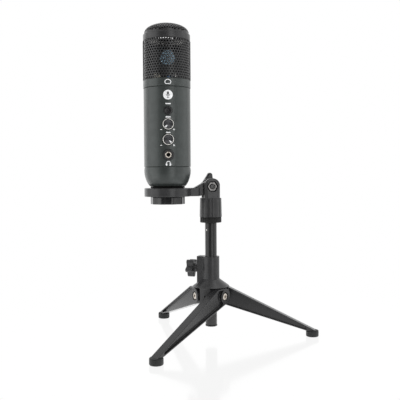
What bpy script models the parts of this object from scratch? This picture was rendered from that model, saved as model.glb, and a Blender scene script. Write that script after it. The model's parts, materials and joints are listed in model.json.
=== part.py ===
"""Desktop microphone: a side-address condenser microphone on a ring bracket,
a tilting clevis, a sliding pole and a folding tripod.

Units are metres, +Z is up, the controls face -Y and the origin is under the
middle of the whole object, on the surface that it stands on.
"""

from math import acos, asin, cos, pi, radians, sin, sqrt

import bmesh
import bpy
from mathutils import Matrix

MM = 0.001

# ---------------------------------------------------------------- clearances
GAP = 0.3 * MM            # between pieces that touch
RUN = 0.4 * MM            # between pieces that turn or slide on each other
PAST = 1.0 * MM           # how far a cutter or a joined solid runs past a face

# ------------------------------------------------------------------- tripod
FOOT_R = 6.5 * MM
FOOT_H = 6.5 * MM
FOOT_REACH = 104.8 * MM           # pole axis to the middle of a foot
FOOT_PEG_R = 1.8 * MM
FOOT_PEG_DROP = 3.0 * MM
FOOT_EDGE = 0.9 * MM
FIRST_FOOT_TURN = radians(-4.1)   # bearing of foot 1 from +X
LEG_FACE = 18.5 * MM              # pole axis to a leg's outer face
LEG_WIDTH = 8.5 * MM
LEG_ROOT_R = 8.4 * MM
LEG_KNEE = 11.5 * MM              # pivot to the knee in the top edge
LEG_TIP_TOP = 8.2 * MM            # top edge above the ground, over the foot
LEG_TIP_BOTTOM = 4.6 * MM
LEG_TIP_PAST = 3.4 * MM           # leg end past the middle of the foot
LEG_RIM = 1.4 * MM
LEG_POCKET_FRONT = 2.6 * MM
LEG_POCKET_BACK = 1.6 * MM
LEG_POCKET_HIGH = 0.6 * MM        # pocket's upper corner at the boss, below the rim
LEG_POCKET_LOW = 1.2 * MM         # pocket's lower corner at the boss, above the rim
LEG_BOSS_R = 6.9 * MM
PIVOT_ALONG = 1.0 * MM            # pivot past the pole axis, along the leg
PIVOT_Z = 44.5 * MM
LEG_SCREW_R = 2.0 * MM
LEG_SCREW_HEAD_R = 3.5 * MM
LEG_SCREW_HEAD_H = 1.4 * MM
LEG_SCREW_EDGE = 0.5 * MM
LEG_SCREW_SUNK = 0.25 * MM
LEG_SCREW_GRIP = 2.3 * MM         # length held in the hub
LEG_RECESS_R = 4.6 * MM
DRIVE_R = 1.25 * MM
DRIVE_DEPTH = 0.9 * MM
FOLD_ANGLE = radians(66.0)

# ---------------------------------------------------------------------- hub
HUB_R = 18.2 * MM
HUB_SKIRT_R = 18.8 * MM
HUB_BOTTOM = 37.5 * MM
SKIRT_EDGE = 0.8 * MM
CONE_H = 8.0 * MM
COLLAR_R = 8.6 * MM
COLLAR_H = 23.0 * MM
CLAMP_TURN = radians(154.7)       # bearing of the clamp from +X
CLAMP_REACH = 14.0 * MM
CLAMP_HALF = 4.6 * MM
CLAMP_WALL = 0.5 * MM             # collar left between the block and the bore
CLAMP_FOOT = 1.0 * MM             # block's foot above the hub's roof, in the cone
CLAMP_BELOW_TOP = 12.5 * MM       # screw axis under the collar's top
CLAMP_SCREW_R = 2.4 * MM
CLAMP_INSERT_WALL = 0.9 * MM
CLAMP_INSERT_L = 4.4 * MM
CLAMP_STEM_R = 4.4 * MM
CLAMP_STEM_L = 3.3 * MM
CLAMP_KNOB_L = 7.6 * MM
CLAMP_KNOB_END = 2.0 * MM         # knob left past the end of its screw
CLAMP_LOBES = 5
CLAMP_LOBE_AT = 6.9 * MM
CLAMP_LOBE_R = 2.1 * MM
CLAMP_VALLEY_R = 5.6 * MM
CLAMP_LOBE_TURN = radians(58.0)
VENT_W = 1.6 * MM
VENT_H = 4.0 * MM
VENT_DEPTH = 1.0 * MM

# --------------------------------------------------------------------- pole
POLE_R = 6.0 * MM
POLE_WALL = 1.2 * MM
POLE_BOTTOM = 14.2 * MM
POLE_TOP = 119.0 * MM
PLUG_LIP_R = 6.15 * MM
PLUG_LIP_H = 1.6 * MM
PLUG_EDGE = 0.6 * MM
PLUG_SHANK_L = 8.0 * MM
STUD_R = 4.0 * MM
STUD_IN_POLE = 15.0 * MM
STUD_ABOVE = 19.0 * MM
STUD_POINT = 1.0 * MM
PIN_R = 1.0 * MM
PIN_BELOW_TOP = 7.4 * MM
PIN_DEPTH = 3.4 * MM
PIN_TURN = radians(-147.0)
LOCK_RING_R = 10.95 * MM
LOCK_RING_H = 5.2 * MM
LOCK_RING_FLUTES = 24
LOCK_RING_FLUTE = 0.45 * MM
LOCK_RING_SHARE = 0.4             # of the pitch that a groove takes

# ------------------------------------------------------------------- clevis
SOCKET_R = 11.5 * MM
SOCKET_TOP_R = 10.65 * MM
SOCKET_H = 19.5 * MM
SOCKET_FLUTES = 8
SOCKET_FLUTE = 0.6 * MM
SOCKET_FLUTE_SHARE = 0.34         # of the pitch
SOCKET_BORE_PAST = 1.0 * MM       # bore above the end of the stud
EAR_HALF_W = 7.4 * MM
EAR_SINK = 1.5 * MM               # ears' feet below the socket's shoulder
EAR_FACE = 10.0 * MM              # pole axis to the outer face of an ear
EAR_TOP_R = 8.4 * MM
TILT_ABOVE_SOCKET = 11.8 * MM     # tilt axis above the socket's shoulder
TONGUE_HALF = 4.0 * MM
TONGUE_R = 7.4 * MM
BOLT_R = 2.5 * MM
NUT_FLATS = 8.0 * MM
NUT_H = 3.8 * MM
NUT_SUNK = 0.5 * MM
NUT_RECESS_FLATS = 9.2 * MM
TILT_KNOB_BOSS_R = 6.0 * MM
TILT_KNOB_BOSS_L = 2.4 * MM
TILT_KNOB_L = 7.0 * MM
TILT_KNOB_LOBES = 3
TILT_KNOB_LOBE_AT = 11.6 * MM
TILT_KNOB_LOBE_R = 2.8 * MM
TILT_KNOB_VALLEY_R = 6.9 * MM
TILT_KNOB_TURN = radians(78.0)
TILT_BOLT_IN_KNOB = 6.5 * MM

# ------------------------------------------------------------- ring bracket
ARM_TURN = radians(5.5)           # the arm's turn about the pole
ARM_LENGTH = 44.3 * MM            # pole axis to microphone axis
ARM_DROP = 9.7 * MM               # tilt axis down to the arm's underside
ARM_H = 8.4 * MM
ARM_HALF_W = 6.5 * MM
ARM_SHOULDER = 12.4 * MM          # pole axis to the end of the full-width arm
GUSSET_REACH = 17.5 * MM
RING_PROUD = 0.1 * MM             # the ring past the microphone's tube
RING_BORE_PLAY = 0.6 * MM         # the ring's bore past the stub
RETAINER_WALL = 5.3 * MM          # the nut and the gasket past the stub
RETAINER_H = 7.4 * MM
RETAINER_FLUTES = 10
RETAINER_FLUTE = 0.8 * MM
RETAINER_SHARE = 0.8              # of the pitch that a flute takes
RETAINER_TURN = radians(-8.0)
STUB_INSET = 11.45 * MM           # stub inside the microphone's tube
STUB_WALL = 2.4 * MM
STUB_SHORT = 1.2 * MM             # stub end above the retainer's underside
STUB_FLANGE = 1.2 * MM
STUB_FLANGE_H = 1.6 * MM
GASKET_WALL = 5.3 * MM
GASKET_H = 1.6 * MM

# --------------------------------------------------------------- microphone
BODY_R = 23.45 * MM
BODY_WALL = 2.0 * MM
BODY_H = 78.0 * MM
CUP_H = 18.9 * MM
CUP_ROUND_H = 15.8 * MM           # height of the curved part of the cup
CUP_BULGE = 25.4 * MM             # vertical half axis of its ellipse
CUP_WALL = 2.2 * MM
SPIGOT_H = 3.0 * MM
SPIGOT_WALL = 1.6 * MM
GRILLE_RING_PROUD = 0.3 * MM      # each of these past the body tube
GRILLE_RING_H = 7.7 * MM
GRILLE_RING_WALL = 2.2 * MM
BAND_PROUD = 0.15 * MM
BAND_H = 6.5 * MM
BAND_EDGE = 0.5 * MM
BAND_LEDGE = 1.2 * MM             # seat under the dome's rim
GRILLE_PROUD = 0.05 * MM
GRILLE_WALL = 0.8 * MM
GRILLE_H = 38.6 * MM
GRILLE_SPAN = radians(150.0)      # each grille half, around the axis
POST_DEPTH = 3.2 * MM
POST_PROUD = 0.4 * MM             # past the mesh
DOME_INSET = 1.3 * MM             # dome inside the band's rim
DOME_RISE = 9.5 * MM
DOME_STRAIGHT = 1.7 * MM          # upright part of the dome above the band
DOME_SKIRT = 2.0 * MM
CAPSULE_R = 7.2 * MM
CAPSULE_L = 8.0 * MM
CAPSULE_INSET = 6.3 * MM          # capsule's face inside the grille ring's bore
CAPSULE_UP = 28.5 * MM            # capsule axis above the grille ring's base
CARRIER_T = 2.0 * MM
CARRIER_H = 35.0 * MM
CARRIER_NOTCH_IN = 7.0 * MM
CARRIER_FOOT_W = 1.24 * MM        # outside each notch
CARRIER_NOTCH_H = 7.0 * MM
PLATE_T = 1.6 * MM
PLATE_INSET = 0.85 * MM           # plates inside the tube's bore
WIRE_HOLE_R = 4.0 * MM
RAIL_INSET = 3.45 * MM            # rails inside the tube's bore
RAIL_T = 1.5 * MM
RAIL_W = 7.0 * MM
CUP_SCREW_R = 1.5 * MM
CUP_SCREW_HEAD_R = 2.2 * MM
CUP_SCREW_HEAD_H = 0.9 * MM
CUP_SCREW_PAST = 5.0 * MM         # screw above the cup's floor
CUP_SCREW_TURN = radians(26.0)

# ----------------------------------------------------------------- controls
BOARD_INSET = 7.85 * MM           # board's front inside the tube's bore
BOARD_T = 1.6 * MM
BOARD_W = 28.0 * MM
BOARD_MARGIN = 5.0 * MM           # board end to the plates
MUTE_SHARE = 0.3051               # each control below the body tube's top, of its height
GAIN_SHARE = 0.4731
VOLUME_SHARE = 0.6641
JACK_SHARE = 0.8538
MUTE_R = 4.0 * MM
MUTE_PROUD = 0.6 * MM
MUTE_FLANGE_R = 5.0 * MM
MUTE_FLANGE_T = 0.8 * MM
MUTE_TRAVEL = 0.8 * MM
SWITCH_W = 6.0 * MM
SWITCH_H = 3.6 * MM
PLUNGER_R = 1.7 * MM
KNOB_R = 5.1 * MM
KNOB_PROUD = 2.3 * MM
KNOB_SINK = 3.0 * MM
TRIM_WALL = 0.75 * MM
TRIM_H = 1.6 * MM
POT_W = 9.6 * MM
POT_H = 3.2 * MM
POT_SHAFT_R = 3.0 * MM
POT_SHAFT_IN_KNOB = 2.4 * MM
JACK_W = 10.0 * MM
JACK_RING_R = 3.25 * MM
JACK_PROUD = 0.1 * MM
JACK_BORE_R = 1.9 * MM
JACK_BORE_DEPTH = 9.0 * MM
JACK_WASHER_R = 5.8 * MM
JACK_WASHER_T = 1.2 * MM
JACK_WASHER_SUNK = 0.9 * MM
USB_W_SHARE = 1.25                # width and depth, of the stub's bore radius
USB_D_SHARE = 1.146
USB_L = 14.0 * MM
USB_WALL_W = 1.6 * MM             # beside the mouth
USB_WALL_D = 1.5 * MM             # before and behind it
USB_MOUTH_DEPTH = 9.0 * MM
USB_UP = 2.4 * MM                 # socket face above the stub's end

# ----------------------------------------------------------- worked-out places
LEG_MIDDLE = LEG_FACE - LEG_WIDTH / 2
LEG_LAG = asin(LEG_MIDDLE / FOOT_REACH)
FOOT_ALONG = sqrt(FOOT_REACH ** 2 - LEG_MIDDLE ** 2) - PIVOT_ALONG
LEG_TIP = FOOT_ALONG + LEG_TIP_PAST
HUB_ROOF = PIVOT_Z + LEG_ROOT_R + RUN
CONE_TOP = HUB_ROOF + CONE_H
COLLAR_TOP = CONE_TOP + COLLAR_H
CLAMP_Z = COLLAR_TOP - CLAMP_BELOW_TOP
LOCK_RING_BOTTOM = POLE_TOP + GAP
SOCKET_BOTTOM = LOCK_RING_BOTTOM + LOCK_RING_H + GAP
SHOULDER_Z = SOCKET_BOTTOM + SOCKET_H
TILT_Z = SHOULDER_Z + TILT_ABOVE_SOCKET
ARM_BOTTOM = TILT_Z - ARM_DROP
RING_TOP = ARM_BOTTOM + ARM_H
RETAINER_TOP = ARM_BOTTOM - GAP
RETAINER_BOTTOM = RETAINER_TOP - RETAINER_H
GASKET_BOTTOM = RING_TOP + GAP
CUP_BOTTOM = GASKET_BOTTOM + GASKET_H + GAP
CUP_TOP = CUP_BOTTOM + CUP_H
BODY_BOTTOM = CUP_TOP + GAP
BODY_TOP = BODY_BOTTOM + BODY_H
GRILLE_RING_BOTTOM = BODY_TOP + GAP
GRILLE_RING_TOP = GRILLE_RING_BOTTOM + GRILLE_RING_H
GRILLE_BOTTOM = GRILLE_RING_TOP + GAP
GRILLE_TOP = GRILLE_BOTTOM + GRILLE_H
BAND_BOTTOM = GRILLE_TOP + GAP
BAND_TOP = BAND_BOTTOM + BAND_H
POLE_BORE_R = POLE_R - POLE_WALL
STUB_BOTTOM = RETAINER_BOTTOM + STUB_SHORT
USB_FACE = STUB_BOTTOM + USB_UP
BODY_BORE_R = BODY_R - BODY_WALL
RING_R = BODY_R + RING_PROUD
SPIGOT_R = BODY_BORE_R - GAP
STUB_R = BODY_R - STUB_INSET
STUB_BORE_R = STUB_R - STUB_WALL
RING_BORE_R = STUB_R + RING_BORE_PLAY
FLANGE_R = STUB_R + STUB_FLANGE
RETAINER_R = STUB_R + RETAINER_WALL
GASKET_R = STUB_R + GASKET_WALL
GRILLE_RING_R = BODY_R + GRILLE_RING_PROUD
GRILLE_RING_BORE_R = GRILLE_RING_R - GRILLE_RING_WALL
GRILLE_R = BODY_R + GRILLE_PROUD
POST_R = GRILLE_R + POST_PROUD
BAND_R = BODY_R + BAND_PROUD
DOME_R = BAND_R - DOME_INSET
CAPSULE_FACE = GRILLE_RING_BORE_R - CAPSULE_INSET
PLATE_R = BODY_BORE_R - PLATE_INSET
RAIL_AT = BODY_BORE_R - RAIL_INSET
BOARD_FRONT = BODY_BORE_R - BOARD_INSET
BASE_PLATE_Z = BODY_BOTTOM + SPIGOT_H + GAP
DECK_Z = BODY_TOP - PLATE_T - GAP
CAPSULE_Z = GRILLE_RING_BOTTOM + CAPSULE_UP

LARGE_SIDES = 36                  # sides of the large round pieces
MIDDLE_SIDES = 24                 # sides of knobs, feet and tubes
SMALL_SIDES = 16                  # sides of screws, pins and shafts
TINY_SIDES = 12                   # sides of the thinnest pins
CURVE_STEPS = 8                   # steps along half a turn of an outline
PROFILE_STEPS = 5                 # steps along the curve of a turned profile
LOBE_STEPS = 5                    # steps round a knob's lobe


# ------------------------------------------------------------------ materials
def material(name, colour, roughness, metallic=0.0):
    """Return the Principled material of this name, made on first use."""
    found = bpy.data.materials.get(name)
    if found:
        return found
    made = bpy.data.materials.new(name)
    made.use_nodes = True
    shader = made.node_tree.nodes["Principled BSDF"]
    shader.inputs["Base Color"].default_value = (*colour, 1.0)
    shader.inputs["Roughness"].default_value = roughness
    shader.inputs["Metallic"].default_value = metallic
    made.diffuse_color = (*colour, 1.0)
    return made


def body_paint():
    return material("body_paint", (0.060, 0.066, 0.064), 0.48, 0.35)


def grille_paint():
    return material("grille_paint", (0.045, 0.045, 0.047), 0.5, 0.5)


def black_plastic():
    return material("black_plastic", (0.040, 0.040, 0.042), 0.55)


def pole_paint():
    return material("pole_paint", (0.045, 0.045, 0.047), 0.4, 0.3)


def rubber():
    return material("rubber", (0.030, 0.032, 0.032), 0.75)


def steel():
    return material("steel", (0.56, 0.54, 0.50), 0.35, 1.0)


def brass():
    return material("brass", (0.70, 0.58, 0.38), 0.35, 1.0)


def capsule_metal():
    return material("capsule_metal", (0.45, 0.55, 0.62), 0.3, 1.0)


def board_green():
    return material("board_green", (0.02, 0.16, 0.07), 0.5)


# -------------------------------------------------------------- plan outlines
def arc(centre, radius, start, end, steps):
    """Points on an arc, both ends included."""
    turns = [start + (end - start) * i / steps for i in range(steps + 1)]
    return [(centre[0] + radius * cos(t), centre[1] + radius * sin(t)) for t in turns]


def circle(radius, sides, centre=(0.0, 0.0)):
    return arc(centre, radius, 0.0, 2 * pi, sides)[:-1]


def rectangle(left, right, low, high):
    return [(left, low), (right, low), (right, high), (left, high)]


def hexagon(flats):
    return [
        (flats / sqrt(3) * cos(pi * i / 3), flats / sqrt(3) * sin(pi * i / 3))
        for i in range(6)
    ]


def star(lobes, lobe_at, lobe_r, valley_r, turn):
    """Outline of a lobed hand knob: round lobes with flat valleys between."""
    points = []
    for i in range(lobes):
        middle = turn + 2 * pi * i / lobes
        centre = (lobe_at * cos(middle), lobe_at * sin(middle))
        points += arc(centre, lobe_r, middle - pi / 2, middle + pi / 2, LOBE_STEPS)
        valley = middle + pi / lobes
        points.append((valley_r * cos(valley), valley_r * sin(valley)))
    return points


def fluted(radius, depth, count, share, steps=1):
    """A circle cut by shallow flutes, each taking a share of its pitch."""
    points = []
    pitch = 2 * pi / count
    for i in range(count):
        start = i * pitch
        land = pitch * (1 - share)
        points += arc((0, 0), radius, start, start + land, steps)
        hollow = start + land + pitch * share / 2
        points.append(((radius - depth) * cos(hollow), (radius - depth) * sin(hollow)))
    return points


# ------------------------------------------------------------------- solids
def finish_mesh(bm):
    """Weld, orient and return a bmesh as a new mesh."""
    bmesh.ops.remove_doubles(bm, verts=bm.verts, dist=1e-7)
    bmesh.ops.recalc_face_normals(bm, faces=bm.faces)
    mesh = bpy.data.meshes.new("mesh")
    bm.to_mesh(mesh)
    bm.free()
    return mesh


def turned(profile, sides=LARGE_SIDES):
    """Solid of revolution about Z from a closed outline of (radius, height)."""
    bm = bmesh.new()
    rings = []
    for radius, height in profile:
        if radius < 1e-9:
            rings.append([bm.verts.new((0, 0, height))] * sides)
            continue
        turns = [2 * pi * i / sides for i in range(sides)]
        rings.append(
            [bm.verts.new((radius * cos(t), radius * sin(t), height)) for t in turns]
        )
    for this, other in zip(rings, rings[1:] + rings[:1]):
        for i in range(sides):
            j = (i + 1) % sides
            corners = list(dict.fromkeys([this[i], this[j], other[j], other[i]]))
            if len(corners) > 2:
                bm.faces.new(corners)
    return finish_mesh(bm)


def prism(outline, low, high, axis="Z"):
    """Straight prism of an outline, from low to high along X, Y or Z."""
    place = {
        "X": lambda a, b, c: (c, a, b),
        "Y": lambda a, b, c: (a, c, b),
        "Z": lambda a, b, c: (a, b, c),
    }[axis]
    bm = bmesh.new()
    bottom = [bm.verts.new(place(a, b, low)) for a, b in outline]
    top = [bm.verts.new(place(a, b, high)) for a, b in outline]
    bm.faces.new(bottom)
    bm.faces.new(top)
    for i in range(len(outline)):
        j = (i + 1) % len(outline)
        bm.faces.new((bottom[i], bottom[j], top[j], top[i]))
    return finish_mesh(bm)


def tapered(outline, low, high, top_scale):
    """Prism along Z whose top outline is scaled towards the axis."""
    mesh = prism(outline, low, high)
    for vertex in mesh.vertices:
        if vertex.co.z > (low + high) / 2:
            vertex.co.x *= top_scale
            vertex.co.y *= top_scale
    return mesh


def rod(radius, low, high, axis="Z", sides=SMALL_SIDES, centre=(0.0, 0.0)):
    return prism(circle(radius, sides, centre), low, high, axis)


def sector(inner, outer, start, end, low, high, steps):
    """Part of a ring between two bearings."""
    outline = arc((0, 0), outer, start, end, steps)
    outline += arc((0, 0), inner, end, start, steps)
    return prism(outline, low, high)


# ------------------------------------------------------------------- objects
def clear_scene():
    for thing in list(bpy.data.objects):
        bpy.data.objects.remove(thing)


def axis_frame(name, at=(0, 0, 0), turn=0.0, parent=None):
    """An empty on a joint's axis or at a sub-assembly's datum."""
    empty = bpy.data.objects.new(name, None)
    empty.empty_display_size = 0.01
    empty.location = at
    empty.rotation_euler = (0, 0, turn)
    empty.parent = parent
    bpy.context.scene.collection.objects.link(empty)
    return empty


def piece(name, mesh, mat, parent, sharp=35.0):
    """One named solid, shaded smooth apart from its sharp edges."""
    mesh.name = name
    mesh.materials.clear()
    mesh.materials.append(mat)
    mesh.shade_smooth()
    mesh.set_sharp_from_angle(angle=radians(sharp))
    made = bpy.data.objects.new(name, mesh)
    made.parent = parent
    bpy.context.scene.collection.objects.link(made)
    return made


def tool(mesh, parent):
    """A hidden solid that a Boolean modifier reads."""
    made = bpy.data.objects.new("tool", mesh)
    made.parent = parent
    made.hide_render = True
    made.display_type = "WIRE"
    bpy.context.scene.collection.objects.link(made)
    return made


def boolean(target, mesh, operation, parent=None):
    modifier = target.modifiers.new(operation.lower(), "BOOLEAN")
    modifier.operation = operation
    modifier.solver = "EXACT"
    modifier.object = tool(mesh, parent or target.parent)


def cut(target, mesh, parent=None):
    boolean(target, mesh, "DIFFERENCE", parent)


def add(target, mesh, parent=None):
    boolean(target, mesh, "UNION", parent)


# -------------------------------------------------------------------- places
def foot_bearing(index):
    return FIRST_FOOT_TURN + 2 * pi * index / 3


def plan_centre():
    """Middle of the object's plan box, measured from the pole axis."""
    mic_x = -ARM_LENGTH * cos(ARM_TURN)
    mic_y = -ARM_LENGTH * sin(ARM_TURN)
    feet = [
        (FOOT_REACH * cos(foot_bearing(i)), FOOT_REACH * sin(foot_bearing(i)))
        for i in range(3)
    ]
    xs = [x + side * FOOT_R for x, _ in feet for side in (-1, 1)]
    ys = [y + side * FOOT_R for _, y in feet for side in (-1, 1)]
    xs.append(mic_x - POST_R)
    ys.append(mic_y - GRILLE_RING_R)
    return (min(xs) + max(xs)) / 2, (min(ys) + max(ys)) / 2


# -------------------------------------------------------------------- tripod
def leg_edges():
    """Top and bottom edge heights of a leg as functions of the distance from its pivot."""
    top_drop = (LEG_TIP_TOP - PIVOT_Z) - LEG_ROOT_R
    top_slope = top_drop / (FOOT_ALONG - LEG_KNEE)
    low_slope = (LEG_TIP_BOTTOM - PIVOT_Z + LEG_ROOT_R) / FOOT_ALONG

    def top(x):
        return LEG_ROOT_R + top_slope * max(0.0, x - LEG_KNEE)

    def bottom(x):
        return -LEG_ROOT_R + low_slope * x

    return top, bottom


def leg_outline():
    """Side view of an open leg, with its pivot at the origin."""
    top, bottom = leg_edges()
    points = arc((0, 0), LEG_ROOT_R, pi / 2, 1.5 * pi, CURVE_STEPS)
    points.append((LEG_TIP, bottom(LEG_TIP)))
    points.append((LEG_TIP, top(LEG_TIP)))
    points.append((LEG_KNEE, LEG_ROOT_R))
    return points


def leg_pocket_outline():
    """Recess in a leg's side: it leaves a rim, and a boss around the pivot."""
    top, bottom = leg_edges()
    end = FOOT_ALONG - FOOT_R
    low_start = -asin((LEG_ROOT_R - LEG_RIM - LEG_POCKET_LOW) / LEG_BOSS_R)
    high_start = asin((LEG_ROOT_R - LEG_RIM - LEG_POCKET_HIGH) / LEG_BOSS_R)
    points = arc((0, 0), LEG_BOSS_R, high_start, low_start, CURVE_STEPS)
    low_x = LEG_BOSS_R * cos(low_start) + LEG_POCKET_LOW
    points.append((low_x, bottom(low_x) + LEG_RIM))
    points.append((end, bottom(end) + LEG_RIM))
    points.append((end, top(end) - LEG_RIM))
    points.append((LEG_KNEE, LEG_ROOT_R - LEG_RIM))
    return points


def make_leg(index, pivot):
    inner = LEG_FACE - LEG_WIDTH
    leg = piece(f"leg_{index}", prism(leg_outline(), inner, LEG_FACE, "Y"), black_plastic(), pivot)
    pocket = leg_pocket_outline()
    cut(leg, prism(pocket, LEG_FACE - LEG_POCKET_FRONT, LEG_FACE + PAST, "Y"))
    cut(leg, prism(pocket, inner - PAST, inner + LEG_POCKET_BACK, "Y"))
    cut(leg, rod(LEG_SCREW_R + GAP, inner - PAST, LEG_FACE, "Y"))
    seat = LEG_FACE - LEG_SCREW_SUNK - LEG_SCREW_HEAD_H - GAP
    cut(leg, rod(LEG_RECESS_R, seat, LEG_FACE + PAST, "Y"))
    peg_low = LEG_TIP_BOTTOM - PIVOT_Z - FOOT_PEG_DROP
    peg_high = peg_low + FOOT_PEG_DROP + 2 * PAST
    add(leg, rod(FOOT_PEG_R, peg_low, peg_high, "Z", TINY_SIDES, (FOOT_ALONG, LEG_MIDDLE)))


def make_leg_screw(index, pivot):
    high = LEG_FACE - LEG_SCREW_SUNK
    low = high - LEG_SCREW_HEAD_H
    tip = LEG_FACE - LEG_WIDTH - GAP - LEG_SCREW_GRIP
    profile = [(0, tip), (LEG_SCREW_R, tip), (LEG_SCREW_R, low), (LEG_SCREW_HEAD_R, low)]
    profile += [(LEG_SCREW_HEAD_R, high - LEG_SCREW_EDGE)]
    profile += [(LEG_SCREW_HEAD_R - LEG_SCREW_EDGE, high)]
    profile += [(DRIVE_R, high), (DRIVE_R, high - DRIVE_DEPTH), (0, high - DRIVE_DEPTH)]
    mesh = turned(profile, SMALL_SIDES)
    mesh.transform(Matrix.Rotation(-pi / 2, 4, "X"))
    piece(f"leg_screw_{index}", mesh, steel(), pivot)


def make_foot(index, pivot):
    """A rubber foot with a slot for the leg's tip and a bore for its peg."""
    ground = -PIVOT_Z
    bottom = leg_edges()[1]
    profile = [(0, ground), (FOOT_R - FOOT_EDGE, ground), (FOOT_R, ground + FOOT_EDGE)]
    profile += [(FOOT_R, ground + FOOT_H - FOOT_EDGE), (FOOT_R - FOOT_EDGE, ground + FOOT_H)]
    profile += [(0, ground + FOOT_H)]
    mesh = turned(profile, MIDDLE_SIDES)
    mesh.transform(Matrix.Translation((FOOT_ALONG, LEG_MIDDLE, 0)))
    foot = piece(f"foot_{index}", mesh, rubber(), pivot)
    start = FOOT_ALONG - FOOT_R - PAST
    end = LEG_TIP + GAP
    slot = [(start, bottom(start) - GAP), (end, bottom(end) - GAP)]
    slot += [(end, ground + FOOT_H + PAST), (start, ground + FOOT_H + PAST)]
    half = LEG_WIDTH / 2 + GAP
    cut(foot, prism(slot, LEG_MIDDLE - half, LEG_MIDDLE + half, "Y"))
    floor = LEG_TIP_BOTTOM - PIVOT_Z - FOOT_PEG_DROP - GAP
    cut(foot, rod(FOOT_PEG_R + GAP, floor, 0, "Z", TINY_SIDES, (FOOT_ALONG, LEG_MIDDLE)))


def make_hub(stand, pivots):
    bore = POLE_R + GAP
    profile = [(bore, HUB_BOTTOM), (HUB_R, HUB_BOTTOM), (HUB_R, HUB_ROOF - SKIRT_EDGE)]
    profile += [(HUB_SKIRT_R, HUB_ROOF + SKIRT_EDGE / 2), (COLLAR_R, CONE_TOP)]
    profile += [(COLLAR_R, COLLAR_TOP), (bore, COLLAR_TOP)]
    hub = piece("hub", turned(profile), black_plastic(), stand)
    add_clamp_block(hub, stand)
    for pivot in pivots:
        reach = LEG_FACE - LEG_WIDTH - GAP
        back = -LEG_ROOT_R - RUN
        room = rectangle(back, 2 * HUB_R, HUB_BOTTOM - PIVOT_Z - PAST, HUB_ROOF - PIVOT_Z)
        cut(hub, prism(room, reach, 2 * HUB_R, "Y"), pivot)
        hole = rod(LEG_SCREW_R + GAP, reach - LEG_SCREW_GRIP - GAP, reach + PAST, "Y")
        cut(hub, hole, pivot)
        add_vent(hub, pivot)


def add_clamp_block(hub, stand):
    """The block that holds the clamp screw, down to the cone and clear of the bore."""
    block = axis_frame("clamp_block", (0, 0, 0), CLAMP_TURN, stand)
    inner = POLE_R + GAP + CLAMP_WALL
    outline = rectangle(inner, CLAMP_REACH, -CLAMP_HALF, CLAMP_HALF)
    add(hub, prism(outline, HUB_ROOF + CLAMP_FOOT, COLLAR_TOP), block)
    hole = rod(CLAMP_SCREW_R + GAP, 0, CLAMP_REACH + PAST, "X", SMALL_SIDES, (0, CLAMP_Z))
    cut(hub, hole, block)
    seat_r = CLAMP_SCREW_R + GAP + CLAMP_INSERT_WALL + GAP
    start = CLAMP_REACH - CLAMP_INSERT_L - GAP
    cut(hub, rod(seat_r, start, CLAMP_REACH + PAST, "X", SMALL_SIDES, (0, CLAMP_Z)), block)


def add_vent(hub, pivot):
    """A small blind slot in each lug between two legs."""
    across = asin((LEG_FACE - LEG_WIDTH) / HUB_R)
    lug = (2 * pi / 3 + across + acos(-(LEG_ROOT_R + RUN) / HUB_R)) / 2
    place = axis_frame("vent", (-PIVOT_ALONG, 0, 0), lug, pivot)
    outline = rectangle(-VENT_W / 2, VENT_W / 2, -VENT_H / 2, VENT_H / 2)
    cut(hub, prism(outline, HUB_R - VENT_DEPTH, HUB_R + PAST, "X"), place)


def make_clamp(stand):
    """The clamp's brass insert, its screw and the star knob on it."""
    axis = axis_frame("clamp_axis", (0, 0, CLAMP_Z), CLAMP_TURN, stand)
    wall = CLAMP_SCREW_R + GAP
    start = CLAMP_REACH - CLAMP_INSERT_L
    profile = [(wall, start), (wall + CLAMP_INSERT_WALL, start)]
    profile += [(wall + CLAMP_INSERT_WALL, CLAMP_REACH), (wall, CLAMP_REACH)]
    insert = turned(profile, SMALL_SIDES)
    insert.transform(Matrix.Rotation(pi / 2, 4, "Y"))
    piece("clamp_insert", insert, brass(), axis)
    tip = POLE_R + GAP
    knob_start = CLAMP_REACH + GAP
    lobes_start = knob_start + CLAMP_STEM_L
    knob_end = lobes_start + CLAMP_KNOB_L
    screw_end = knob_end - CLAMP_KNOB_END
    piece("clamp_screw", rod(CLAMP_SCREW_R, tip, screw_end, "X"), steel(), axis)
    outline = star(
        CLAMP_LOBES, CLAMP_LOBE_AT, CLAMP_LOBE_R, CLAMP_VALLEY_R, CLAMP_LOBE_TURN
    )
    knob = piece("clamp_knob", prism(outline, lobes_start, knob_end, "X"), black_plastic(), axis)
    add(knob, rod(CLAMP_STEM_R, knob_start, lobes_start + PAST, "X"))
    cut(knob, rod(CLAMP_SCREW_R + GAP, knob_start - PAST, screw_end + GAP, "X"))


# ---------------------------------------------------------------------- pole
def make_pole(stand):
    profile = [(POLE_BORE_R, POLE_BOTTOM), (POLE_R, POLE_BOTTOM)]
    profile += [(POLE_R, POLE_TOP), (POLE_BORE_R, POLE_TOP)]
    pole = piece("pole", turned(profile, MIDDLE_SIDES), pole_paint(), stand)
    pin = axis_frame("pin_axis", (0, 0, POLE_TOP - PIN_BELOW_TOP), PIN_TURN, stand)
    cut(pole, rod(PIN_R + GAP, 0, POLE_R + PAST, "X", TINY_SIDES), pin)
    inner = POLE_R - PIN_DEPTH
    piece("pole_pin", rod(PIN_R, inner, POLE_R, "X", TINY_SIDES), steel(), pin)
    make_plug(stand)
    make_stud(stand, pin)


def make_plug(stand):
    lip_low = POLE_BOTTOM - GAP - PLUG_LIP_H
    lip_high = POLE_BOTTOM - GAP
    shank = POLE_BORE_R - GAP
    top = lip_high + PLUG_SHANK_L
    profile = [(0, lip_low), (PLUG_LIP_R - PLUG_EDGE, lip_low), (PLUG_LIP_R, lip_low + PLUG_EDGE)]
    profile += [(PLUG_LIP_R, lip_high), (shank, lip_high), (shank, top), (0, top)]
    piece("pole_plug", turned(profile, MIDDLE_SIDES), rubber(), stand)


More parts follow.
